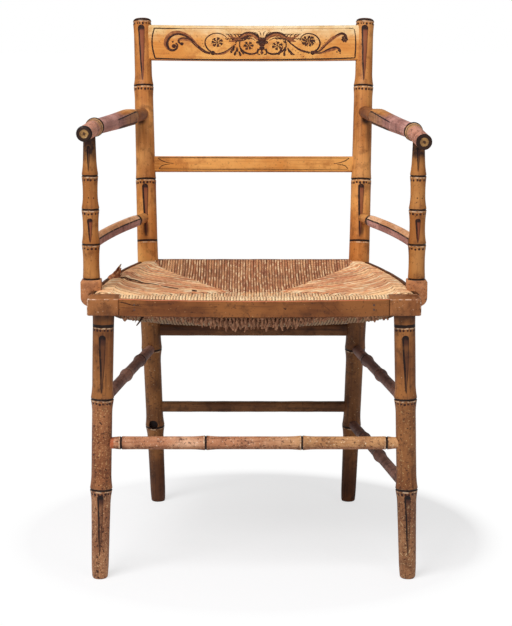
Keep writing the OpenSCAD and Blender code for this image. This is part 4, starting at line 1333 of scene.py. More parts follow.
@dataclass
class Arm:
    """A turned grip, a scored ring and a barrel that is shaved flat before it necks to the post.

    Attributes:
        side: -1 for the left arm and +1 for the right one.
        top: height of the upper flat above the axis.
        low: depth of the lower flat.
        half: half distance between the side flats.
        chamfer: width of the lower corners' cut.
        shoulder: place of the barrel's shoulder, as a share of its length.
        slim: the barrel's radius at the ring.
        swell: how much that radius grows up to the shoulder.
    """

    side: int
    top: float = 0.0138
    low: float = 0.012
    half: float = 0.01175
    chamfer: float = 0.005
    shoulder: float = 0.655
    slim: float = 0.0122
    swell: float = 0.004

    def build(self, grip_paint: Material, grain: Material, flat_paint: Material) -> None:
        """Makes the grip and the barrel."""
        front, ring, rear = (mirrored(p, self.side) for p in PLAN.arm_points(self.side))
        self.grip(front, ring, grip_paint, grain)
        self.barrel(ring, rear, flat_paint)

    def grip(self, front: Array, ring: Array, paint: Material, grain: Material) -> None:
        """Makes the round stretch from behind the ring to the open end, with end grain on its cap."""
        ahead = unit(front - ring)
        start = ring - ahead * 0.011
        length = float(np.linalg.norm(front - start))
        knots = (
            (0.0, 0.0118, False),
            (0.011, 0.0156, True),
            (length - 0.0026, 0.0122, False),
            (length - 0.0008, 0.0115, False),
            (length, 0.0103, False),
        )
        turning = Turning(knots, (None, (0.0121, 0.0119), None, None), reach=0.013)
        along = turning.stations(0.005)
        course = Course.straight(start, front, along, UPWARD)
        rings, u = round_rings(course, turning.radius(along), 48)
        rim = smooth(along, length - 0.0038, length - 0.0028)
        behind = smooth(along, 0.0028, 0.0042) * smooth(along, 0.015, 0.014)
        mark = np.broadcast_to(np.maximum(rim, behind)[:, None], rings.shape[:2])
        name = side_name(self.side)
        piece = Shell().add(rings, u, along, caps=(0, 1), mark=mark).make(f"{name}_arm_grip", [paint, grain])
        dress(piece, Slot.PAINTED, f"{name}_arm")

    def barrel(self, ring: Array, rear: Array, paint: Material) -> None:
        """Makes the shaved stretch.

        Its round radius grows in a parabola to the shoulder and falls to the neck. In each
        direction the section reaches the smallest of that radius and the distance to each flat:
        0 is the top, 1 the bottom, 2 and 3 the sides and 4 and 5 the lower corners.
        A mark of 1 lies on the edges between two flats or a flat and the round.
        """
        length = float(np.linalg.norm(rear - ring))
        along = np.linspace(0, length - 0.012, 150)
        shoulder = length * self.shoulder
        swell = self.slim + self.swell * np.clip(along / shoulder, 0, 1) ** 2
        stations = shoulder + np.array([0.0, 0.014, 0.024, 0.031, 0.036, 0.045, 0.056, 0.15])
        fall = np.interp(along, stations, [0.0, 0.0004, 0.0045, 0.0069, 0.0073, 0.0058, 0.0053, 0.0064])
        radius = swell - fall
        angles = np.linspace(-math.pi, math.pi, 145)
        angle = angles[:-1]
        course = Course.straight(ring, rear, along, UPWARD)
        slope = math.pi / 4
        normals = np.array([0.0, math.pi, math.pi / 2, -math.pi / 2, math.pi - slope, slope - math.pi])
        corner = (self.low + self.half - self.chamfer) * math.cos(slope)
        limits = np.array([self.top, self.low, self.half, self.half, corner, corner])
        facing = np.cos(angle[:, None] - normals)
        reach = np.where(facing > 0.05, limits / np.maximum(facing, 0.05), 1.0)
        flats = np.broadcast_to(reach, (len(along), *reach.shape))
        turned = np.broadcast_to(radius[:, None, None], (len(along), len(angle), 1))
        options = np.concatenate([flats, turned], -1)
        ordered = np.sort(options, -1)
        out = ordered[..., 0]
        margin = ordered[..., 1] - ordered[..., 0]
        active = options.argmin(-1)
        arris = np.minimum(np.sqrt(np.maximum(radius**2 - self.half**2, 0)), self.top)[:, None]
        upper = ((active == 2) | (active == 3)) & (out * np.cos(angle) > arris - 0.0021)
        lower = ((active == 1) | (active == 4) | (active == 5)) & (margin < 0.001)
        mark = upper * smooth(along, 0.085, 0.12)[:, None]
        mark = np.maximum(mark, lower * smooth(along, 0.02, 0.05)[:, None])
        sections = np.stack([out * np.cos(angle), out * np.sin(angle)], -1)
        rings = course.place(sections)
        u = angles * 0.013
        name = side_name(self.side)
        piece = Shell().add(rings, u, along, mark=mark).make(f"{name}_arm_barrel", [paint], 28.0)
        dress(piece, Slot.PAINTED, f"{name}_arm")


@dataclass
class ArmBrace:
    """A flat bar bowed like the seat's side, rounded to a neck at the post."""

    side: int
    height: float = 0.018
    width: float = 0.011

    def section(self, count: int = 64) -> tuple[Array, Array, Array]:
        """The flat section, whose inner top edge is worn to a wide bevel.

        Args:
            count: points round it.

        Returns:
            The outline as (up, inwards), shape (count, 2), the distance round it from the top's
            outer edge, shape (count + 1,), and a mark on the line below the bevel, shape (count,).
        """
        h, w = self.height / 2, self.width / 2
        corners = np.array([
            (h, -w + 0.0012), (h, 0.0), (h - 0.0006, 0.0012), (h - 0.005, w - 0.0012),
            (h - 0.0058, w - 0.0004), (h - 0.0064, w), (h - 0.0074, w), (h - 0.0082, w),
            (-h + 0.0012, w), (-h, w - 0.0012), (-h, -w + 0.0012), (-h + 0.0012, -w),
            (h - 0.0012, -w), (h, -w + 0.0012),
        ])
        line = np.array([0, 0, 0, 0, 1, 1, 0.6, 0, 0, 0, 0, 0, 0, 0])
        reach = travelled(corners)
        around = np.linspace(0, reach[-1], count + 1)
        outline = np.stack([np.interp(around, reach, corners[:, k]) for k in (0, 1)], 1)
        return outline[:-1], around, np.interp(around, reach, line)[:-1]

    def build(self, paint: Material) -> None:
        """Makes the bar.

        Between the support and the post it bows outwards by the span squared over twice the bow's
        radius, times share times one minus share. Its section turns from flat to round in the
        last stretch before the post and flares a little at the support.
        """
        back = PLAN.post_at(0.516)
        front = np.array([PLAN.support[0], PLAN.support[1] - PLAN.middle, 0.513])
        t = np.linspace(0.0, 0.985, 60)
        span = float(np.linalg.norm(back[:2] - front[:2]))
        line = front + (back - front) * t[:, None]
        line[:, 0] += span**2 / (2 * PLAN.side_radius) * t * (1 - t)
        course = Course.through(mirrored(line, self.side), UPWARD)
        flat, around, drawn = self.section()
        angle = np.arctan2(flat[:, 1], flat[:, 0])
        neck = np.stack([np.cos(angle), np.sin(angle)], 1) * 0.0088
        into = smooth(t * span, span - 0.056, span - 0.036)[:, None, None]
        flare = 1 + 0.12 * smooth(t * span, 0.035, 0.012)[:, None, None]
        sections = (flat * (1 - into) + neck * into) * flare * [1, -self.side]
        rings = course.place(sections)
        mark = drawn * (1 - into[..., 0])
        name = side_name(self.side)
        piece = Shell().add(rings, around, t * span, mark=mark).make(f"{name}_flat_brace", [paint], 50.0)
        dress(piece, Slot.PAINTED, f"{name}_arm_brace")


@dataclass
class Stretcher:
    """A turned rail between two legs."""

    name: str
    node: str
    start: Array
    end: Array
    turning: Turning
    face: Triple = UPWARD

    def build(self, paint: Material) -> None:
        """Makes the rail, whose ends run into the legs."""
        along = self.turning.stations()
        course = Course.straight(self.start, self.end, along, self.face)
        rings, u = round_rings(course, self.turning.radius(along), 36)
        dress(Shell().add(rings, u, along).make(self.name, [paint]), Slot.WORN, self.node)


def stretchers(front_paint: Material, side_paint: Material, back_paint: Material) -> None:
    """Makes the front, side and back stretchers."""
    x, y, level = PLAN.leg_at(FRONT_LEVEL)
    half = x - 0.004
    ends = [np.array([s * half, y, level]) for s in (-1, 1)]
    end_r = 0.009
    knots = (
        (0.0, end_r, False),
        (0.014, end_r, False),
        *((x + half, 0.0103 if abs(x) > 0.1 else 0.0115, True) for x in FRONT_RINGS),
        (2 * half - 0.014, end_r, False),
        (2 * half, end_r, False),
    )
    turning = Turning(knots, (None, None, *((0.01, 0.01),) * 3, None, None))
    Stretcher("turned_front_stretcher", "front_stretcher", *ends, turning, FORWARD).build(front_paint)
    for side, node, back_z, leg_z in (
        (-1, "left_upper_stretcher", 0.285, 0.28),
        (1, "right_upper_stretcher", 0.285, 0.28),
        (1, "right_lower_stretcher", LOWER_BACK_Z, LOWER_FRONT_Z),
    ):
        start, end = (mirrored(p, side) for p in (PLAN.post_at(back_z), PLAN.leg_at(leg_z)))
        span = float(np.linalg.norm(end - start))
        waist = (0.0085, 0.0089)
        knots = (
            (0.005, 0.008, False),
            (0.02, 0.008, False),
            (span * 0.27, 0.011, True),
            (span * 0.55, 0.011, True),
            (span - 0.019, 0.008, False),
            (span - 0.005, 0.008, False),
        )
        turning = Turning(knots, (None, waist, waist, waist, None), reach=0.03)
        Stretcher(f"turned_{node}", node, start, end, turning).build(side_paint)
    for node, z, height in (("upper_back_stretcher", 0.3185, 0.021), ("lower_back_stretcher", 0.177, 0.0185)):
        post = PLAN.post_at(z)
        x = np.linspace(-post[0] + 0.006, post[0] - 0.006, 60)
        course = Course.through(grid(x, post[1], z))
        points, u, v = swept(course, eased(0.014, height, 0.005), x, uneven=0.0003)
        dress(Shell().add(points, u, v).make(f"hewn_{node}", [back_paint], 60.0), Slot.BARE, node)


def brush(
    shell: Shell,
    place: Callable[[Array, Array, Array], Array],
    points: Array,
    width: Array,
    proud: float = 0.00022,
) -> None:
    """Adds one thin closed brush stroke lying on a face.

    Args:
        shell: where to add it.
        place: turns (x, up, out) on the face into frame points.
        points: the stroke's middle line as (x, up), shape (n, 2).
        width: its full width at each point.
        proud: how far the paint stands out.
    """
    ahead = unit(np.gradient(points, axis=0))
    across = np.stack([-ahead[:, 1], ahead[:, 0]], 1)
    side = np.array([-0.5, -0.42, 0.0, 0.42, 0.5, 0.0])
    rise = np.array([-0.0004, proud * 0.6, proud, proud * 0.6, -0.0004, -0.0005])
    flat = points[:, None, :] + across[:, None, :] * (side * width[:, None])[..., None]
    shell.add(place(flat[..., 0], flat[..., 1], np.broadcast_to(rise, flat.shape[:2])))


@dataclass
class BackBoard:
    """The painted face of a rail between the back posts.

    Attributes:
        z: height of its middle line.
        height: height of the board.
        thickness: its thickness.
        bow: how far its middle bows back.
        radius: how far its edges are rounded.
    """

    z: float
    height: float
    thickness: float
    bow: float
    radius: float

    def half(self) -> float:
        """Distance of the posts' axes from the middle."""
        return float(PLAN.post_at(self.z)[0])

    def to_frame(self, x: Array, up: Array, back: Array) -> Array:
        """Board coordinates, with back measured from the bowed middle surface, to the frame."""
        bent = back + self.bow / 2 - self.bow * (x / self.half()) ** 2
        base = PLAN.post_at(self.z)
        y = base[1] + bent * math.cos(PLAN.rake) + up * math.sin(PLAN.rake)
        z = base[2] - bent * math.sin(PLAN.rake) + up * math.cos(PLAN.rake)
        return grid(x, y, z)

    def build(self, name: str, node: str, paint: Material) -> None:
        """Makes the board: an eased section swept from post to post."""
        x = np.linspace(-self.half() + 0.004, self.half() - 0.004, 90)
        section = eased(self.thickness, self.height, self.radius, 5)
        worn = 1 + 0.004 * waver(x[:, None] * 70, x[:, None] * 23 + np.arange(len(section))[None, :] * 0.3)
        rings = self.to_frame(x[:, None], section[None, :, 1] * worn, section[None, :, 0] * worn)
        dress(Shell().add(rings, girth(section), x).make(name, [paint], 50.0), Slot.PAINTED, node)

    def on_face(self, x: Array, up: Array, out: Array) -> Array:
        """A point of the board's front, out in front of it."""
        return self.to_frame(x, up, -self.thickness / 2 - out)


def tapered(count: int, widest: float, start: float = 0.2, stop: float = 0.2, peak: float = 0.5) -> Array:
    """Stroke widths in metres that swell from start to 1 at peak and fall to stop, times widest."""
    t = np.linspace(0, 1, count)
    return widest * np.interp(t, [0, peak, 1], [start, 1, stop])


@dataclass
class Scrollwork:
    """The painted scrolls, flowers and border of the crest rail, in millimetres from its middle.

    A stroke is a list of points, its greatest width and, where they aren't the usual ones, its
    shares of width at the start and the end, the place of its greatest width and its samples.

    Attributes:
        board: the crest rail.
        weight: how much wider the strokes are than written.
        drawn: places across the board as written.
        placed: where the chair shows those places.
        axis: place of the middle of the ornament.
    """

    board: BackBoard
    weight: float = 1.55
    drawn: tuple[float, ...] = (-176, -154, -67, 14.5, 92.5, 139, 153, 170, 175)
    placed: tuple[float, ...] = (-176, -150, -70.5, 14.5, 102.5, 150, 161, 174.5, 178.5)
    axis: float = 14.5

    def build(self, ink: Material, brown: Material, wash: Material) -> None:
        """Makes the border, the scrolls and their lighter shading."""
        for name, paint, parts in (
            ("crest_border_line", ink, (self.border,)),
            ("crest_scroll_shading", wash, (self.shading,)),
            ("crest_scrollwork", brown, (self.left, self.right, self.centre, self.flowers, self.sprays)),
        ):
            shell = Shell()
            for part in parts:
                part(shell)
            dress(shell.make(name, [paint]), Slot.PAINTED)

    def draw(
        self,
        shell: Shell,
        points: list[tuple[float, float]],
        widest: float,
        start: float = 0.25,
        stop: float = 0.25,
        peak: float = 0.5,
        count: int = 40,
    ) -> None:
        """Draws one stroke, spread sideways as on the chair."""
        line = spline(np.array(points), count)
        line = np.stack([np.interp(line[:, 0], self.drawn, self.placed), line[:, 1]], 1) / 1000
        brush(shell, self.board.on_face, line, tapered(count, widest * self.weight / 1000, start, stop, peak))

    def strokes(self, shell: Shell, *strokes: tuple) -> None:
        """Draws strokes."""
        for stroke in strokes:
            self.draw(shell, *stroke)

    def pairs(self, shell: Shell, *strokes: tuple) -> None:
        """Draws strokes, whose points are given from the ornament's middle, to either side of it."""
        for out in (-1, 1):
            for points, *rest in strokes:
                self.draw(shell, [(self.axis + out * x, up) for x, up in points], *rest)

    def dots(self, shell: Shell, *dots: Triple) -> None:
        """Draws round dots (x, up, size) as very short strokes with a round outline."""
        t = np.linspace(-0.98, 0.98, 9)
        for x, up, size in dots:
            middle = float(np.interp(x, self.drawn, self.placed))
            line = np.stack([middle + t * size / 2, np.full_like(t, up)], 1) / 1000
            brush(shell, self.board.on_face, line, np.sqrt(1 - t**2) * size / 1000, 0.0003)

    def border(self, shell: Shell) -> None:
        """Draws the inset line with its bracket ends; the upper line is worn away in the middle."""
        self.strokes(
            shell,
            ([(-172.5, 24.3), (-150, 24), (-132, 24.4), (-122, 24.2)], 1.5, 0.9, 0.3, 0.3),
            ([(-172.5, 24.5), (-175, 14), (-176, 2), (-175, -12), (-171.5, -28)], 1.9, 0.8, 1.0, 0.6),
            ([(-171.5, -28), (-120, -29.2), (-40, -29.4), (60, -29), (171, -27.2)], 1.5, 0.9, 1.0, 0.5, 90),
            ([(171, -27.4), (172.8, -10), (172.6, 8), (170, 23)], 1.9, 0.9, 0.5, 0.4),
            ([(150, 24.4), (160, 24.6), (169, 23.6)], 0.9, 0.3, 0.5, 0.6),
        )

    def shading(self, shell: Shell) -> None:
        """Draws the lighter strokes that give the scrolls their body."""
        outer = [(-98, -1), (-112, 11), (-128, 17.5), (-142, 16.5), (-153, 9), (-157, -3), (-153, -13)]
        self.strokes(
            shell,
            (outer, 5.4, 0.2, 0.3, 0.6, 60),
            ([(-96, -7), (-108, 2), (-120, 6), (-130, 4)], 4.0, 0.3, 0.4, 0.6),
        )
        self.pairs(
            shell,
            ([(6, 6), (14, 13), (26, 14.5), (36, 9), (46, 8), (56, 13)], 5.8, 0.7, 0.3, 0.35, 60),
            ([(30, 11), (44, 5), (52, 2)], 5.0, 0.5, 0.2, 0.4),
        )
        self.strokes(
            shell,
            ([(104, -13), (116, -2), (128, 8.5), (140, 14)], 4.6, 0.3, 0.3, 0.6),
            ([(106, -19), (122, -13.5), (134, -10.5)], 3.6, 0.3, 0.4, 0.6),
            ([(-62, -21), (-48, -17.5), (-34, -8)], 3.4, 0.3, 0.3, 0.5),
            ([(-124, 24.2), (-60, 24.7), (0, 24.3), (80, 24.7), (152, 24.4)], 0.6, 0.9, 0.5, 0.2, 90),
        )

    def left(self, shell: Shell) -> None:
        """Draws the open scrolls of the left half."""
        outer = [(-72, -18), (-82, -15), (-98, -4), (-112, 8), (-128, 14.5), (-140, 14), (-150, 7.5)]
        outer += [(-154, -3), (-151, -11), (-143.5, -14), (-136.5, -11), (-134.5, -4.5), (-138, -1.5)]
        inner = [(-72, -19), (-84, -16), (-98, -6), (-110, 3.5), (-121, 7), (-130, 5.5)]
        inner += [(-132, 1), (-127, -3.5)]
        loop = [(-68, -17), (-76, -12), (-82, -2), (-79.5, 8), (-69, 15), (-58, 16.5)]
        loop += [(-48, 12.5), (-42.5, 6)]
        self.draw(shell, outer, 3.8, 0.55, 0.5, 0.62, 80)
        self.dots(shell, (-141, -6.5, 8), (-143.5, 1, 3.4))
        self.draw(shell, inner, 3.2, 0.7, 0.6, 0.75, 60)
        self.dots(shell, (-126, -2.5, 6.4))
        self.draw(shell, loop, 1.9, 1.0, 0.4, 0.2, 60)
        self.draw(shell, [(-68, -19), (-58, -19.5), (-47, -16), (-36, -8), (-28.5, -1.5)], 2.4, 0.8, 0.5, 0.3)
        self.dots(shell, (-67, -18, 8.4))
        self.draw(shell, [(-34, 7.5), (-24, 8), (-12, 11), (0, 15)], 3.6, 0.5, 0.7)
        self.draw(shell, [(-36, 6), (-27, 3.5), (-16, 4.5), (-8, 9)], 2.0, 0.6, 0.4)

    def right(self, shell: Shell) -> None:
        """Draws the open scrolls of the right half."""
        loop = [(94, -16), (101, -11), (105, -1), (101, 9), (92, 15), (82, 15.5), (75, 10), (73, 4)]
        outer = [(94, -16.5), (104, -14.5), (114, -5), (124, 5), (134, 12.5), (143, 15.5)]
        outer += [(151, 12), (153, 5)]
        inner = [(95, -18.5), (108, -17.5), (120, -11.5), (131, -8.5), (138, -12), (139, -17.5)]
        self.draw(shell, [(42, 12), (52, 5.5), (62, -4), (74, -13), (88, -17.5)], 2.6, 0.4, 1.0, 0.8)
        self.dots(shell, (92.5, -17.5, 8.6))
        self.draw(shell, loop, 2.2, 1.0, 0.5, 0.2, 60)
        self.draw(shell, outer, 3.2, 0.5, 0.9, 0.7, 60)
        self.draw(shell, inner, 3.0, 0.5, 0.6, 0.6, 50)
        self.dots(shell, (137, -14, 4.2), (133.5, -16.5, 2.6), (139, -19, 2.4))

    def centre(self, shell: Shell) -> None:
        """Draws the middle palmette and the pair of spirals beside it."""
        palmette = ((0, -1, 12.5), (-2.5, 6, 9.5), (2.5, 5.5, 9.5), (0, -9, 9.5))
        palmette += ((-7, 1, 6), (7, 1, 6), (0, -17, 5.5))
        spiral = [(34, 8.5), (37, 0), (36, -9), (28, -17), (18, -19.5), (9, -17), (6, -10)]
        self.dots(shell, *((self.axis + x, up, size) for x, up, size in palmette))
        self.pairs(
            shell,
            ([(3, 4), (9, 12), (18, 16.5), (29, 16), (38, 9), (44, 0)], 4.4, 0.8, 0.35, 0.3, 60),
            (spiral, 2.6, 0.4, 0.8, 0.6, 60),
            ([(34, 6), (27, 8.5), (18, 8), (11, 4)], 1.8, 0.8, 0.3, 0.3),
            ([(2, -9), (6, -14), (7, -19), (3, -20.5)], 1.6, 0.7, 0.7),
            ([(5, 12), (9, 17), (14, 19)], 1.1, 0.6, 0.3, 0.3, 20),
            ([(1.5, 12), (3, 18), (6, 20.5)], 1.1, 0.6, 0.3, 0.3, 20),
        )
        stem = [(self.axis, -10), (self.axis - 0.6, -16), (self.axis, -21)]
        self.draw(shell, stem, 2.2, 0.8, 0.4, 0.4, 20)

    def flowers(self, shell: Shell) -> None:
        """Draws the flowers inside the loops: petals, each with a dot, set round a centre."""
        for x, up, size, petals, turn in (
            (-60, 1, 9.5, 7, 0.3),
            (86, 3, 10.5, 9, 0.0),
            (-8, -5, 8.0, 6, 0.9),
            (38, -5, 8.0, 6, 0.2),
            (149, 6, 6.5, 7, 0.4),
        ):
            for k, a in enumerate(turn + np.arange(petals) * 2 * math.pi / petals):
                reach = size * (0.62 + 0.12 * math.sin(3.1 * k + x))
                petal = [
                    (x + 2.2 * math.cos(a), up + 2.0 * math.sin(a)),
                    (x + reach * math.cos(a + 0.25), up + reach * 0.9 * math.sin(a + 0.25)),
                    (x + size * math.cos(a - 0.05), up + size * 0.86 * math.sin(a - 0.05)),
                ]
                self.draw(shell, petal, 3.1, 0.3, 0.8, 0.7, 14)
                beside = (x + size * 1.02 * math.cos(a + 0.4), up + size * 0.86 * math.sin(a + 0.4), 1.7)
                self.dots(shell, beside)
            self.dots(shell, (x, up, 3.4))

    def sprays(self, shell: Shell) -> None:
        """Draws the dotted sprays and the hanging leaves."""
        self.dots(
            shell,
            *((-88.5, 10, 1), (-88, 4, 1.3), (-86.5, -2, 1.6), (-84.5, -6.5, 1.6)),
            *((115.5, 10.5, 1), (115, 5.5, 1.5), (113, 0, 1.9), (110, -5, 1.9), (107, -8.5, 1.7)),
            *((66, -14, 1.5), (70, -17.5, 1.8), (74, -21, 2), (78, -24.5, 2), (81, -26.5, 1.2)),
            *((46, -6, 2.2), (45, -11, 2.2), (49, -15, 1.6), (-39, 3, 3), (-43, 6, 2.2)),
            *((26, 22, 1.2), (-19, 21, 1.3)),
        )
        left = ((-31, -6, -1), (-27, -8, 0), (-22, -8, 1), (-34, -10, -1), (-19, -12, 1))
        left += ((-28, -14, -1), (-24, -15, 1))
        right = ((46, -8, -1), (50, -7, 0), (54, -9, 1), (43, -13, -1), (57, -13, 1), (49, -15, 0))
        for x, up, lean in left + right:
            leaf = [(x, up), (x + lean * 2.2, up - 4.5), (x + lean * 2.8, up - 8)]
            self.draw(shell, leaf, 3.3, 0.5, 0.6, 0.6, 14)
        for x, up in ((47, 4), (60, -17)):
            self.draw(shell, [(x, up), (x + 2.6, up - 3), (x + 5, up - 4)], 2.4, 0.4, 0.4, 0.5, 14)
        for out in (-1, 1):
            for reach in (18, 23, 28, 33, 38, 43, 49, 54):
                x = self.axis + out * reach
                upper = [(x, 10.5), (x + out * 2.5, 14.5), (x + out * 6.5, 15.5)]
                lower = [(x + out, 8.5), (x + out * 5, 6.5), (x + out * 8, 7.5)]
                self.strokes(shell, (upper, 1.5, 0.7, 0.4, 0.4, 14), (lower, 1.3, 0.7, 0.4, 0.4, 14))


@dataclass
class SlatLines:
    """The dark lines along the back slat and the fishtails at its ends. Millimetres."""

    board: BackBoard

    def build(self, ink: Material) -> None:
        """Makes the lines."""
        shell = Shell()
        half = self.board.half() * 1000 - 18.5
        strokes = [
            ([(-half + 3, 10.4), (-80, 10.6), (0, 10.2), (90, 10.5), (half - 3, 10.3)], 1.7),
            ([(-half + 5, -9), (-70, -9.4), (10, -9.2), (80, -9.5), (half - 5, -9.2)], 1.6),
        ]
        for out in (-1, 1):
            for points, widest in (
                ([(half - 3, 10.2), (half - 10, 5.5), (half - 20, 2), (half - 30, 0.6)], 1.7),
                ([(half - 5, -9), (half - 10, -3.6), (half - 18, -1.2), (half - 24, -0.6)], 1.5),
            ):
                strokes.append(([(out * x, up) for x, up in points], widest))
        for points, widest in strokes:
            line = spline(np.array(points) / 1000, 60)
            brush(shell, self.board.on_face, line, tapered(60, widest / 1000, 0.7, 0.5, 0.3))
        dress(shell.make("slat_border_lines", [ink]), Slot.PAINTED)


STRIP_WIDTH, STRIP_HEIGHT = 0.005, 0.022
STRIP = eased(STRIP_WIDTH, STRIP_HEIGHT, 0.0011)
JOINT_GAP = 0.0003


@dataclass
class SeatEdge:
    """The corner blocks and the nailed strips round the rush."""

    crack_paint: Material

    def build(self, block: Material, strip: Material, dark: Material) -> None:
        """Makes the blocks and the strips."""
        for side in (-1, 1):
            self.corner(side, block)
            self.side_strip(side, dark)
        self.front_strip(strip)
        self.back_strip(dark)

    def corner(self, side: int, paint: Material) -> None:
        """Makes one corner block with worn edges."""
        centre_x = (PLAN.block_inner + PLAN.block / 2) * side
        centre_y = PLAN.block_front + PLAN.block / 2 - PLAN.middle
        section = eased(PLAN.block, PLAN.block, 0.0024, 5)
        z = np.array([0.0, 0.0006, 0.0018, 0.006, 0.012, 0.018, 0.0238, 0.0252, 0.026]) + PLAN.block_z
        inset = np.array([0.0015, 0.0005, 0.0, 0.0, 0.0, 0.0, 0.0, 0.0006, 0.002])
        flat = section[None] * (1 - inset / (PLAN.block / 2))[:, None, None]
        flat = flat * (1 + 0.006 * waver(z[:, None] * 300, np.arange(len(section))[None, :] * 0.8))[..., None]
        rings = grid(flat[..., 0] + centre_x, flat[..., 1] + centre_y, z[:, None])
        name = side_name(side)
        top_edge = smooth(z, PLAN.seat_z - 0.0024, PLAN.seat_z - 0.0008) * (z < PLAN.seat_z - 0.0001)
        outer = (0, 3) if side > 0 else (1, 2)
        mark = np.maximum(corner_marks(outer, 5)[None, :], top_edge[:, None])
        piece = Shell().add(rings, girth(section), z, mark=mark).make(f"{name}_worn_block", [paint], 50.0)
        dress(piece, Slot.WORN, f"{name}_corner_block")

    def front_strip(self, paint: Material) -> None:
        """Makes the bowed strip along the front."""
        reach = PLAN.block_inner - JOINT_GAP
        x = np.linspace(-reach, reach, 120)
        width, height = 0.007, 0.026
        y = PLAN.front_y + x**2 / (2 * PLAN.front_radius) + width / 2
        course = Course.through(grid(x, y, PLAN.block_z + height / 2))
        points, u, v = swept(course, eased(width, height, 0.0012), x, uneven=0.0004)
        mark = np.broadcast_to(corner_marks((3,)), points.shape[:2])
        piece = Shell().add(points, u, v, mark=mark).make("front_edge_strip", [paint], 50.0)
        dress(piece, Slot.WORN, "front_seat_strip")
        self.cracks()

    def cracks(self) -> None:
        """Draws the strip's splits, its seams to the blocks and old filled holes. Millimetres."""

        def on_strip(x: Array, up: Array, out: Array) -> Array:
            """A point in front of the strip's face."""
            y = PLAN.front_y + x**2 / (2 * PLAN.front_radius) - out
            return grid(x, y, PLAN.block_z + up)

        shell = Shell()
        for points, widest, start, stop, peak in (
            ([(-204, 21.5), (-194, 20.0), (-185, 17.5), (-176, 16.8), (-168, 15.5)], 2.3, 0.6, 0.1, 0.2),
            ([(-203, 13.5), (-190, 12.6), (-180, 13.4), (-172, 12.8)], 0.9, 0.5, 0.2, 0.5),
            ([(100, 21), (108, 15.5), (113, 11), (121, 5)], 0.8, 0.3, 0.2, 0.5),
            ([(118, 20), (124, 13), (129, 7)], 0.6, 0.2, 0.2, 0.5),
            ([(-203.6, 1), (-203.4, 13), (-203.7, 25.5)], 0.8, 0.9, 0.9, 0.5),
            ([(203.6, 1), (203.8, 13), (203.5, 25.5)], 0.6, 0.9, 0.9, 0.5),
            ([(-60, 17.5), (-58, 17.0), (-55, 17.4)], 1.3, 0.4, 0.4, 0.5),
            ([(44.5, 15.0), (46.5, 13.8), (48.0, 14.6)], 2.4, 0.5, 0.5, 0.5),
            ([(-95, 9.0), (-93, 8.6), (-91, 9.0)], 1.2, 0.4, 0.4, 0.5),
            ([(-186, 8.5), (-183.5, 8.2), (-181, 8.8)], 1.9, 0.4, 0.4, 0.5),
            ([(-150, 1.2), (-60, 0.9), (50, 0.8), (150, 1.0)], 1.1, 0.3, 0.3, 0.5),
        ):
            line = spline(np.array(points) / 1000, 30)
            brush(shell, on_strip, line, tapered(30, widest / 1000, start, stop, peak), 0.00015)
        dress(shell.make("front_strip_cracks", [self.crack_paint]), Slot.WORN)

    def side_strip(self, side: int, paint: Material) -> None:
        """Makes the bowed strip along one side."""
        start = PLAN.block_front + PLAN.block - PLAN.middle + JOINT_GAP
        y = np.linspace(start, PLAN.post_bend_y - PLAN.middle - 0.012, 90)
        centres = grid(PLAN.side_x(y) - STRIP_WIDTH / 2, y, PLAN.seat_z - STRIP_HEIGHT / 2)
        centres = mirrored(centres, side)
        points, u, v = swept(Course.through(centres, (float(side), 0.0, 0.0)), STRIP, y, uneven=0.0003)
        name = side_name(side)
        piece = Shell().add(points, u, v).make(f"{name}_edge_strip", [paint], 50.0)
        dress(piece, Slot.WORN, f"{name}_seat_strip")

    def back_strip(self, paint: Material) -> None:
        """Makes the straight strip along the back."""
        half = float(PLAN.post_at(0.428)[0]) - 0.014
        x = np.linspace(-half, half, 60)
        y = CUSHION.back + JOINT_GAP + STRIP_WIDTH / 2
        centres = grid(x, y, PLAN.seat_z - STRIP_HEIGHT / 2)
        points, u, v = swept(Course.through(centres), STRIP, x, uneven=0.0003)
        dress(Shell().add(points, u, v).make("back_edge_strip", [paint], 50.0), Slot.WORN, "back_seat_strip")


# The rush seat

STRAND = 0.0045


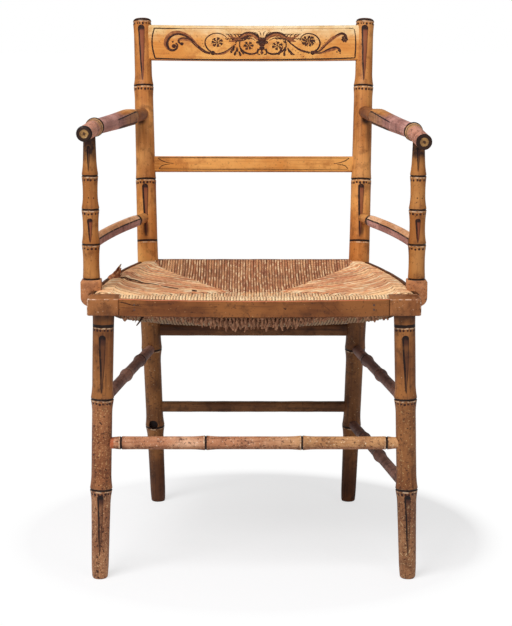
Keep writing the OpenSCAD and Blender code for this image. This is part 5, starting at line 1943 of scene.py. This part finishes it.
@dataclass(frozen=True)
class Cushion:
    """The level of the rush above and below, by distance from the nearest rail's outer edge.

    Attributes:
        front: foremost line of the rush.
        back: its back edge.
        top: level of its upper edge.
        low: level of its lower edge.
        round_up: height of the rounding over a rail.
        round_in: how far that rounding reaches inwards.
        rail: how far the rail reaches inwards.
        dip: depth of the sag on top.
        belly: depth of the belly below.
    """

    front: float = PLAN.front_y + 0.0073
    back: float = PLAN.post_bend_y + 0.002 + 0.01 + 0.004 - PLAN.middle
    top: float = 0.436
    low: float = 0.42
    round_up: float = 0.0072
    round_in: float = 0.014
    rail: float = 0.026
    dip: float = 0.03
    belly: float = 0.05

    def side(self, y: Array) -> Array:
        """Distance of the rush's side edge from the middle at y."""
        return PLAN.side_x(y) - 0.0053

    def front_edge(self, x: Array) -> Array:
        """The rush's front edge at x."""
        return self.front + x**2 / (2 * PLAN.front_radius)

    def inner(self, x: Array, y: Array) -> Array:
        """Distance from the nearest edge."""
        gap = np.minimum(self.side(y) - np.abs(x), np.minimum(y - self.front_edge(x), self.back - y))
        return np.maximum(gap, 0)

    def swell(self, d: Array) -> Array:
        """Quarter-round rise over the rail: the round's height times the root of 1 - (1 - share)2."""
        return np.sqrt(np.maximum(1 - (1 - np.minimum(d / self.round_in, 1)) ** 2, 0)) * self.round_up

    def slope(self, d: Array) -> Array:
        """Share of the way from the rail to the seat's middle."""
        return np.clip((d - self.rail) / ((self.back - self.front) / 2 - self.rail), 0, 1)

    def upper(self, x: Array, y: Array) -> Array:
        """Height of the seat's upper side."""
        d = self.inner(x, y)
        return self.top + self.swell(d) - self.dip * self.slope(d) ** 0.55

    def lower(self, x: Array, y: Array) -> Array:
        """Height of the seat's underside."""
        d = self.inner(x, y)
        return self.low - self.swell(d) - self.belly * self.slope(d) ** 0.7


CUSHION = Cushion()
LEFT_TIP = (-0.036, -0.012)
RIGHT_TIP = (0.038, -0.012)


def scattered(number: Array, factor: float, spread: float) -> Array:
    """A repeatable random share, from 0 to 1, for each number."""
    return np.mod(np.sin(number * factor) * spread, 1.0)


@dataclass
class RushField:
    """One field of strands that wrap a rail and run in to the seams.

    Attributes:
        name: the piece's name.
        start: where the field starts along its rail.
        stop: where it stops.
        seam: (place along the rail, place of the seam) in order.
        sideways: the strands run along X, from a side rail.
        side: -1 or +1 for a side field's rail, and -1 for front or +1 for back.
    """

    name: str
    start: float
    stop: float
    seam: tuple[tuple[float, float], ...]
    sideways: bool
    side: int

    def edge(self, a: Array) -> Array:
        """Place of the rail's outer edge."""
        if self.sideways:
            return CUSHION.side(a) * self.side
        return CUSHION.front_edge(a) if self.side < 0 else np.full_like(a, CUSHION.back)

    def build(self, straw: Material) -> None:
        """Makes the field.

        Rows step across the strands, six to a strand, and each row is the closed outline of one
        cut along them: over the top, round the rail and back below. Each point then moves
        outwards by the strand's round profile, the root of 1 - s2 with s from -1 to 1 across it,
        with a slow twist along the strand.
        """
        rows = int((self.stop - self.start) / STRAND * 6)
        a = np.linspace(self.start, self.stop, rows)
        strand = np.floor(a / STRAND)
        seam_at, seam_to = np.array(self.seam).T
        level = scattered(strand, 12.9898, 43758.5453)
        phase = scattered(strand, 78.233, 12345.678)[:, None]
        ragged = (level - 0.5) * 0.007
        to_edge = self.edge(a)
        from_seam = np.interp(a, seam_at, seam_to)
        inward = np.sign(from_seam - to_edge)
        from_seam = from_seam + inward * (0.002 + ragged)
        t = np.linspace(0, 1, 27)
        t = 1 - (1 - t) ** 1.7
        top_p = from_seam[:, None] + (to_edge - from_seam)[:, None] * t
        low_p = top_p[:, ::-1]
        aa = np.broadcast_to(a[:, None], top_p.shape)
        top, low = ((top_p, aa), (low_p, aa)) if self.sideways else ((aa, top_p), (aa, low_p))
        top_z = CUSHION.upper(*top)
        low_z = CUSHION.lower(*low)
        near_seam = np.abs(top_p - from_seam[:, None])
        top_z = top_z - (0.003 if self.sideways else 0.0012) * np.exp(-near_seam / 0.0022)
        wall = np.array([0.3, 0.7])
        wall_p = np.repeat(to_edge[:, None], 2, 1)
        wall_z = CUSHION.top + (CUSHION.low - CUSHION.top) * np.broadcast_to(wall, wall_p.shape)
        p = np.concatenate([top_p, wall_p, low_p], 1)
        z = np.concatenate([top_z, wall_z, low_z], 1)
        run = np.concatenate([np.zeros((rows, 1)), np.cumsum(np.hypot(np.diff(p), np.diff(z)), 1)], 1)
        s = 2 * (a / STRAND - strand)[:, None] - 1
        profile = np.sqrt(np.maximum(1 - s**2 * 0.97, 0)) - 0.55
        twist = np.sin(run * 820 + s * 2.6 + phase * 6.28)
        size = 0.0016 * (1 + 0.16 * twist) + 0.0004 * waver(run * 90 + phase * 40)
        lift = size * profile + (level[:, None] - 0.5) * 0.0009
        dp, dz = np.gradient(p, axis=1), np.gradient(z, axis=1)
        length = np.maximum(np.hypot(dp, dz), 1e-9)
        sign = np.sign((p * np.roll(z, -1, 1) - np.roll(p, -1, 1) * z).sum(1))[:, None]
        p = p + sign * dz / length * lift
        z = z - sign * dp / length * lift
        sway = 0.0011 * waver(run * 55 + phase * 30, run * 17 + a[:, None] * 9)
        place = a[:, None] + sway
        rings = grid(p, place, z) if self.sideways else grid(place, p, z)
        u = np.concatenate([run, run[:, -1:] + 0.02], 1)
        piece = Shell().add(rings, u, a).make(self.name, [straw], 80.0)
        dress(piece, Slot.RUSH, "rush_seat")


@dataclass
class LooseEnds:
    """The ragged wraps under the front edge, the splinters at the left and a stray dark stalk."""

    pitch: float = 0.006
    thick: float = 0.003

    def strand(
        self, shell: Shell, points: Array, radius: Array, flat: float = 1.0, turns: float = 0.0
    ) -> None:
        """Adds one closed strand.

        Args:
            shell: where to add it.
            points: its line, shape (n, 3).
            radius: its radius at each point.
            flat: how flat it is, as thickness over width.
            turns: how often its flat sides turn round along it.
        """
        course = Course.through(points, (0.0, -1.0, 0.15))
        angle = np.linspace(-math.pi, math.pi, 9)[:-1]
        turn = np.linspace(0, 2 * math.pi * turns, len(points))[:, None]
        out, side = np.cos(angle) * flat, np.sin(angle)
        spun = (out * np.cos(turn) - side * np.sin(turn), out * np.sin(turn) + side * np.cos(turn))
        u = np.repeat(travelled(points)[:, None], 9, 1)
        v = np.linspace(0.1, 0.9, 9)[None, :] * STRAND + np.floor(points[0, 0] / STRAND) * STRAND
        rings = course.place(np.stack(spun, -1) * radius[:, None, None])
        shell.add(rings, u, np.broadcast_to(v, u.shape))

    def build(self, dusky: Material, torn: Material, dark: Material) -> None:
        """Makes the wraps, row by row, and the splinters."""
        rng = np.random.default_rng(7)
        shell = Shell()
        t = np.linspace(0, 1, 9)
        for row, (back, share) in enumerate(((0.004, 1.0), (0.0085, 0.9), (0.015, 1.0))):
            for x in np.arange(-0.199, 0.1995, self.pitch) + row * self.pitch / 3:
                middle = math.exp(-((x / 0.085) ** 4))
                drop = (0.0065 + 0.0125 * middle + rng.uniform(-0.0045, 0.0045)) * share
                y = CUSHION.front_edge(np.array([x]))[0] + back
                lean = rng.uniform(-0.003, 0.003)
                points = grid(
                    x + lean * t**1.5 + 0.0007 * np.sin(9 * t + x * 900),
                    y + rng.uniform(-0.001, 0.003) * t,
                    0.4205 - (drop + 0.0045) * t,
                )
                width = self.thick * rng.uniform(0.8, 1.25) * (1 - 0.45 * t**3)
                self.strand(shell, points, width, 0.55, rng.uniform(0.3, 0.9))
        for x, drop, lean in (
            (-0.176, 0.014, -0.004),
            (-0.163, 0.018, 0.003),
            (-0.125, 0.012, 0.004),
            (0.166, 0.012, 0.006),
            (0.176, 0.009, 0.01),
        ):
            y = CUSHION.front_edge(np.array([x]))[0] + 0.004
            points = grid(x + lean * t**2, y, 0.419 - drop * t)
            self.strand(shell, points, 0.0012 * (1 - 0.7 * t), 0.6, 0.5)
        dress(shell.make("rush_ragged_wraps", [dusky], 60.0), Slot.RUSH)
        self.splinters(torn, dark)

    def splinters(self, torn: Material, dark: Material) -> None:
        """Makes the torn strands that stand up at the left edge and the stalk below the front."""
        shell = Shell()
        t = np.linspace(0, 1, 14)
        for radius, *line in (  # Millimetres
            (4.6, (-235, -34, 439), (-229, -32, 445), (-221.5, -30, 454), (-215, -29, 464)),
            (5, (-233, -40, 438.5), (-226.5, -38, 443.5), (-219, -35, 450.5), (-215, -32, 458)),
            (4.2, (-229, -44, 439), (-222.5, -40, 442.5), (-216.5, -37, 447), (-215, -35, 452)),
            (3.4, (-234, -28, 440), (-229, -27, 446), (-224, -26, 453)),
        ):
            width = radius / 1000 * (1 - 0.8 * t**3) * (0.8 + 0.2 * np.sin(t * 9))
            self.strand(shell, spline(np.array(line) / 1000, 14), width, 0.4, 0.15)
        dress(shell.make("rush_torn_splinters", [torn], 50.0), Slot.RUSH)
        stalk = Shell()
        line = ((-0.167, -0.236, 0.418), (-0.171, -0.238, 0.4095), (-0.1775, -0.24, 0.401))
        points = spline(np.array(line), 12)
        self.strand(stalk, points, 0.0023 * (1 - 0.5 * np.linspace(0, 1, 12)), 0.7, 0.2)
        dress(stalk.make("dark_stray_stalk", [dark], 50.0), Slot.RUSH)


@dataclass
class RushSeat:
    """The four fields, the loose ends under the front edge and the splinters at the left."""

    half_front: float = PLAN.block_inner - 0.0006
    side_front: float = PLAN.block_front + PLAN.block - PLAN.middle + 0.0006
    back_corner: tuple[float, float] = (0.168, 0.138)

    def build(self, finish: Finish, ink: Material) -> None:
        """Makes the fields, the loose ends and the dark slits."""
        straw = (1.0, 0.66, 0.35), (0.79, 0.315, 0.142), (0.42, 0.142, 0.076)
        golden = finish.rush("rush_straw", *straw, 0.85, 3.6, twisted=0.5)
        straw = (0.66, 0.33, 0.16), (0.46, 0.178, 0.085), (0.25, 0.094, 0.055)
        flecked = {"twisted": 0.7, "bright": (0.95, 0.67, 0.4), "slim": True}
        dusky = finish.rush("rush_dusky", *straw, 0.85, 2.6, **flecked)
        pale = finish.rush("rush_pale", (1.0, 0.76, 0.45), (0.9, 0.48, 0.225), (0.52, 0.22, 0.115), 0.85)
        bx, by = self.back_corner
        fx, fy = self.half_front, self.side_front
        (lx, ly), (rx, ry) = LEFT_TIP, RIGHT_TIP
        left = ((-fx, fy), (-0.165, -0.12), (-0.103, -0.062), (lx, ly))
        right = ((rx, ry), (0.103, -0.06), (0.165, -0.118), (fx, fy))
        RushField("rush_front_field", -fx, fx, left + right, False, -1).build(pale)
        back = ((-bx, by), (lx, ly), (rx, ry), (bx, by))
        RushField("rush_back_field", -0.178, 0.178, back, False, 1).build(dusky)
        turned = tuple((y, x) for x, y in left + ((-bx, by),))
        RushField("rush_left_field", fy, by, turned, True, -1).build(golden)
        turned = tuple((y, x) for x, y in right[::-1] + ((bx, by),))
        RushField("rush_right_field", fy, by, turned, True, 1).build(golden)
        ends = (0.44, 0.225, 0.125), (0.26, 0.11, 0.062), (0.14, 0.056, 0.038)
        wraps = finish.rush("rush_wraps", *ends, 0.4, 0.7, False, bright=(0.46, 0.25, 0.15))
        ends = (0.56, 0.235, 0.105), (0.3, 0.085, 0.038), (0.12, 0.034, 0.02)
        torn = finish.rush("rush_torn", *ends, 0.6, 2.0, False)
        LooseEnds().build(wraps, torn, ink)
        self.slits(ink)

    def slits(self, ink: Material) -> None:
        """Draws the dark slit in the left field and a dark gap near the front as strokes on the rush."""

        def on_seat(x: Array, y: Array, out: Array) -> Array:
            """A point just above the strands."""
            return grid(x, y, CUSHION.upper(x, y) + 0.0014 + out)

        slit = [(-0.2184, -0.051), (-0.204, -0.038), (-0.1904, -0.03)]
        slit += [(-0.1772, -0.037), (-0.1654, -0.0315), (-0.154, -0.032)]
        shell = Shell()
        for points, widest in (
            (slit, 0.0052),
            ([(-0.214, -0.056), (-0.203, -0.046), (-0.192, -0.041), (-0.18, -0.043)], 0.0026),
            ([(-0.1002, -0.0385), (-0.096, -0.0392), (-0.0921, -0.0395)], 0.0075),
            ([(-0.15, -0.034), (-0.136, -0.038), (-0.122, -0.04)], 0.0022),
        ):
            line = spline(np.array(points), 40)
            brush(shell, on_seat, line, tapered(40, widest, 0.35, 0.15, 0.35), 0.0005)
        dress(shell.make("rush_dark_slits", [ink]), Slot.RUSH)


def hung(name: str, data: object, matrix: Matrix) -> Object:
    """A new object of the scene, placed by a matrix."""
    thing = bpy.data.objects.new(name, data)
    thing.matrix_world = matrix
    bpy.context.collection.objects.link(thing)
    return thing


def repaint(node: str, material: Material) -> None:
    """Gives a CAD node that stays in view its finish."""
    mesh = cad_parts[node].data
    mesh.materials.clear()
    mesh.materials.append(material)


@dataclass(frozen=True)
class Studio:
    """The camera, floor and lights. Lengths in metres, angles in degrees."""

    camera_at: Triple = (-0.0075, -2.8064, 0.8755)
    yaw: float = 0.23
    pitch: float = 10.05
    roll: float = 0.07
    lens: float = 99.49
    sensor: float = 36.0
    floor_half: float = 30.0
    paper_near: float = 0.67
    paper_start: float = 0.28
    paper_end: float = 0.43
    ambient: float = 0.3

    def build(self) -> None:
        """Makes the camera, the floor and the lights."""
        self.camera()
        self.floor()
        self.world()
        self.area("key_light", (-1.05, -1.6, 3.0), (0.0, 0.0, 0.35), 1.5, 92.0)
        self.area("fill_light", (1.9, -3.0, 1.7), (0.0, 0.0, 0.4), 1.6, 16.0)
        bpy.context.scene.view_settings.view_transform = "Standard"

    def camera(self) -> None:
        """Places the camera where the photograph was taken from."""
        yaw, pitch, roll = (math.radians(a) for a in (self.yaw, self.pitch, self.roll))
        ahead = Vector((math.sin(yaw) * math.cos(pitch), math.cos(yaw) * math.cos(pitch), -math.sin(pitch)))
        right = Vector((math.cos(yaw), -math.sin(yaw), 0.0))
        up = right.cross(ahead)
        tilted = right * math.cos(roll) + up * math.sin(roll)
        upright = up * math.cos(roll) - right * math.sin(roll)
        data = bpy.data.cameras.new("camera")
        data.sensor_width = self.sensor
        data.lens = self.lens
        axes = Matrix((tilted, upright, -ahead)).transposed().to_4x4()
        bpy.context.scene.camera = hung("camera", data, Matrix.Translation(self.camera_at) @ axes)

    def floor(self) -> None:
        """Lays a wide pale floor."""
        h = self.floor_half
        mesh = bpy.data.meshes.new("floor")
        mesh.from_pydata([(-h, -h, 0), (h, -h, 0), (h, h, 0), (-h, h, 0)], [], [(0, 1, 2, 3)])
        floor = hung("floor", mesh, Matrix())
        material = bpy.data.materials.new("floor_paper")
        material.use_nodes = True
        n = Nodes(material.node_tree)
        x, y, _ = n.parts(n.where())
        seen = n.out(n.add("LightPath"), "Is Camera Ray")
        far = n.most(n.ramp(n.apart(x, y), self.paper_start, self.paper_end), self.paper_near) * seen
        look = {"Base Color": n.mix(far, (0.93, 0.925, 0.945), (0.0, 0.0, 0.0)), "Roughness": 0.9}
        look |= {"Specular IOR Level": 0.1, "Emission Color": (1.0, 1.0, 1.0), "Emission Strength": far}
        n.fill(material.node_tree.nodes["Principled BSDF"], look)
        mesh.materials.append(material)

    def world(self) -> None:
        """Surrounds the chair with white: full to the camera, ambient as light."""
        world = bpy.data.worlds.new("studio")
        world.use_nodes = True
        n = Nodes(world.node_tree)
        path = n.add("LightPath")
        seen = n.most(n.out(path, "Is Camera Ray"), n.out(path, "Is Transmission Ray"))
        strength = n.line(seen, 1 - self.ambient, self.ambient)
        n.fill(world.node_tree.nodes["Background"], {"Color": (1.0, 1.0, 1.0), "Strength": strength})
        bpy.context.scene.world = world

    def area(self, name: str, at: Triple, to: Triple, size: float, power: float) -> None:
        """Hangs a soft square light at one point, turned towards another."""
        data = bpy.data.lights.new(name, "AREA")
        data.energy = power
        data.size = size
        turn = (Vector(to) - Vector(at)).to_track_quat("-Z", "Y").to_matrix().to_4x4()
        hung(name, data, Matrix.Translation(at) @ turn)


def main() -> None:
    """Builds the chair's pieces in order, then the studio."""
    logging.basicConfig(level=logging.INFO)
    finish = Finish()
    raw = finish.coated("raw_mortise_wood", HOLLOW)
    ink = finish.ink("dark_brown_stroke", (0.017, 0.005, 0.0036), (0.075, 0.02, 0.011))
    brown = finish.ink("red_brown_stroke", (0.026, 0.0072, 0.0048), (0.125, 0.034, 0.017))
    wash = finish.ink("brown_wash_stroke", (0.2, 0.058, 0.022), (0.5, 0.19, 0.056))
    post_rings = tuple(Ring(z, dots=True) for z in (0.8505, 0.739, 0.58))
    post_rings += tuple(Ring(z) for z in (0.476, 0.284, 0.142))
    support_paint = finish.coated(
        "support_paint",
        SUPPORT,
        rings=(*(Ring(z, 0.0014, True) for z in (0.62, 0.568, 0.514)), Ring(0.46, 0.0014)),
        tears=(Tear(0.666, 0.626, -0.0015, 0.0075, 0.6, DARK_TEAR), Tear(0.555, 0.517, 0.0, 0.0095, 0.85)),
        freckles=(0.579, 0.608),
        # Painted shade at the top of the support, under the arm.
        shade_bands=((0.646, 0.7), (0.662, 0.7)),
    )
    for side in (-1, 1):
        post_paint = finish.coated(
            f"{side_name(side)}_post_paint",
            OCHRE,
            rings=post_rings,
            tears=(Tear(0.8415, 0.7455, -0.001, 0.0135), Tear(0.5715, 0.481, -0.001)),
            blends=(
                Blend(AMBER, 0.575, 0.545),
                # Darker olive-brown below the seat: worn paint and painted shade from the seat.
                Blend(OLIVE, 0.435, 0.345),
                Blend(DARK, 0.15, 0.03),
                Blend(BROWN, 0.8495, 0.8545),
            ),
            # Painted shade on the post below the arm's neck and below the brace's neck.
            shade_patches=(
                ShadePatch(side * 0.012, 0.662, 0.009, 0.04, 0.5),
                ShadePatch(side * 0.0045, 0.679, 0.01, 0.0095, 0.92),
                ShadePatch(side * 0.001, 0.4935, 0.006, 0.014, 0.8),
            ),
        )
        BackPost(side).build(post_paint, raw)
        worn, low = (WORN_LEG, LOW_LEG) if side < 0 else (BROWN_LEG, DULL_LEG)
        leg_paint = finish.coated(
            f"{side_name(side)}_leg_paint",
            LEG,
            rings=(Ring(0.3975, 0.0023, True), Ring(0.284, dots=True), Ring(0.142, dots=True)),
            tears=(
                Tear(0.384, 0.293, 0.0, 0.0115, 0.6, DARK_TEAR),
                Tear(0.135, 0.036, 0.0, 0.0115, 0.4, DARK_TEAR),
            ),
            blends=(Blend(worn, 0.3, 0.262), Blend(low, 0.15, 0.125)),
            # Painted shade at the top of the leg, under its corner block.
            shade_bands=((0.4085, 0.43),),
        )
        FrontLeg(side).build(leg_paint, raw)
    foot_paint = finish.coated("support_foot_paint", FOOT)
    along = Along.LENGTH
    around = Along.AROUND
    rose = Blend(ROSE, 0.0185, 0.04, along)
    grip_paint = finish.coated("arm_grip_paint", TAN, (Ring(0.019, 0.0007),), blends=(rose,), edge=Edge(INK))
    grain = finish.coated("arm_end_grain", END_GRAIN, disc=0.0065)
    flat_blends = (
        Blend(TAN, 0.08, 0.24, along),
        # Dark lower flats of the barrel: dark paint along the lower edge and painted shade on the underside.
        Blend(DARK, 0.0262, 0.0276, around),
        Blend(OCHRE, 0.0112, 0.01, around),
        Blend(MAUVE, 0.165, 0.11, along),
        Blend(BLOCK, 0.247, 0.2485, along),
    )
    flat_rings = (Ring(0.244, 0.0024),)
    flat_paint = finish.coated("arm_flat_paint", MAUVE, flat_rings, blends=flat_blends, edge=Edge(INK))
    brace_blends = (
        Blend(MAUVE, 0.013, 0.0142, around),
        Blend(SUPPORT, 0.048, 0.044, along),
        Blend(OCHRE, 0.2905, 0.2925, along),
    )
    brace_rings = (Ring(0.0455, 0.0008), Ring(0.2895, 0.0024))
    brace_paint = finish.coated("brace_paint", BRACE_TOP, brace_rings, blends=brace_blends, edge=Edge(INK))
    for side in (-1, 1):
        ArmSupport(side).build(support_paint, foot_paint)
        Arm(side).build(grip_paint, grain, flat_paint)
        ArmBrace(side).build(brace_paint)
    crest = BackBoard(0.8125, 0.0605, 0.014, 0.008, 0.0025)
    # Paler along the crest's top edge: painted highlight.
    crest_paint = finish.coated("crest_paint", LEMON, blends=(Blend(PALE_LEMON, 0.812, 0.846),))
    crest.build("painted_crest_rail", "crest_rail", crest_paint)
    Scrollwork(crest).build(ink, brown, wash)
    slat = BackBoard(0.606, 0.027, 0.012, 0.0, 0.003)
    slat.build("painted_back_slat", "back_slat", finish.coated("slat_paint", ORANGE))
    SlatLines(slat).build(ink)
    # The strip's top front edge is drawn lighter red: a painted highlight.
    strip_paint = finish.coated("strip_paint", BROWN, edge=Edge((0.58, 0.165, 0.075)))
    block_paint = finish.coated("block_paint", BLOCK, edge=Edge((0.62, 0.4, 0.28), 0.5))
    dark_wood = finish.coated("dark_rough_wood", DARK)
    SeatEdge(ink).build(block_paint, strip_paint, dark_wood)
    RushSeat().build(finish, ink)
    half = PLAN.leg_at(FRONT_LEVEL)[0] - 0.004
    front_rings = tuple(Ring(x + half) for x in FRONT_RINGS)
    front_blends = (
        Blend(GOLDEN, 0.2, 0.33, along),
        Blend(LOW_LEG, 0.2135, 0.2075),
        Blend(ORANGE_END, 0.016, 0.013, along),
    )
    front_paint = finish.coated("front_stretcher_paint", PINK, front_rings, blends=front_blends)
    side_paint = finish.coated("side_stretcher_paint", PLUM, (Ring(0.105), Ring(0.214)))
    # The upper back stretcher stays dark above, painted shade under the seat, and is lighter below; the lower
    # one is lighter all through.
    hewn = (Blend(HEWN, 0.3195, 0.3165), Blend(HEWN, 0.24, 0.22))
    stretchers(front_paint, side_paint, finish.coated("hewn_stretcher_wood", DARK, blends=hewn))
    iron = finish.iron()
    for node in ("seat_strip_nails", "arm_support_screws"):
        repaint(node, iron)
    for node in ("front_seat_rail", "back_seat_rail", "left_seat_rail", "right_seat_rail"):
        repaint(node, dark_wood)
    Studio().build()
    write_size()


if __name__ == "__main__":
    main()
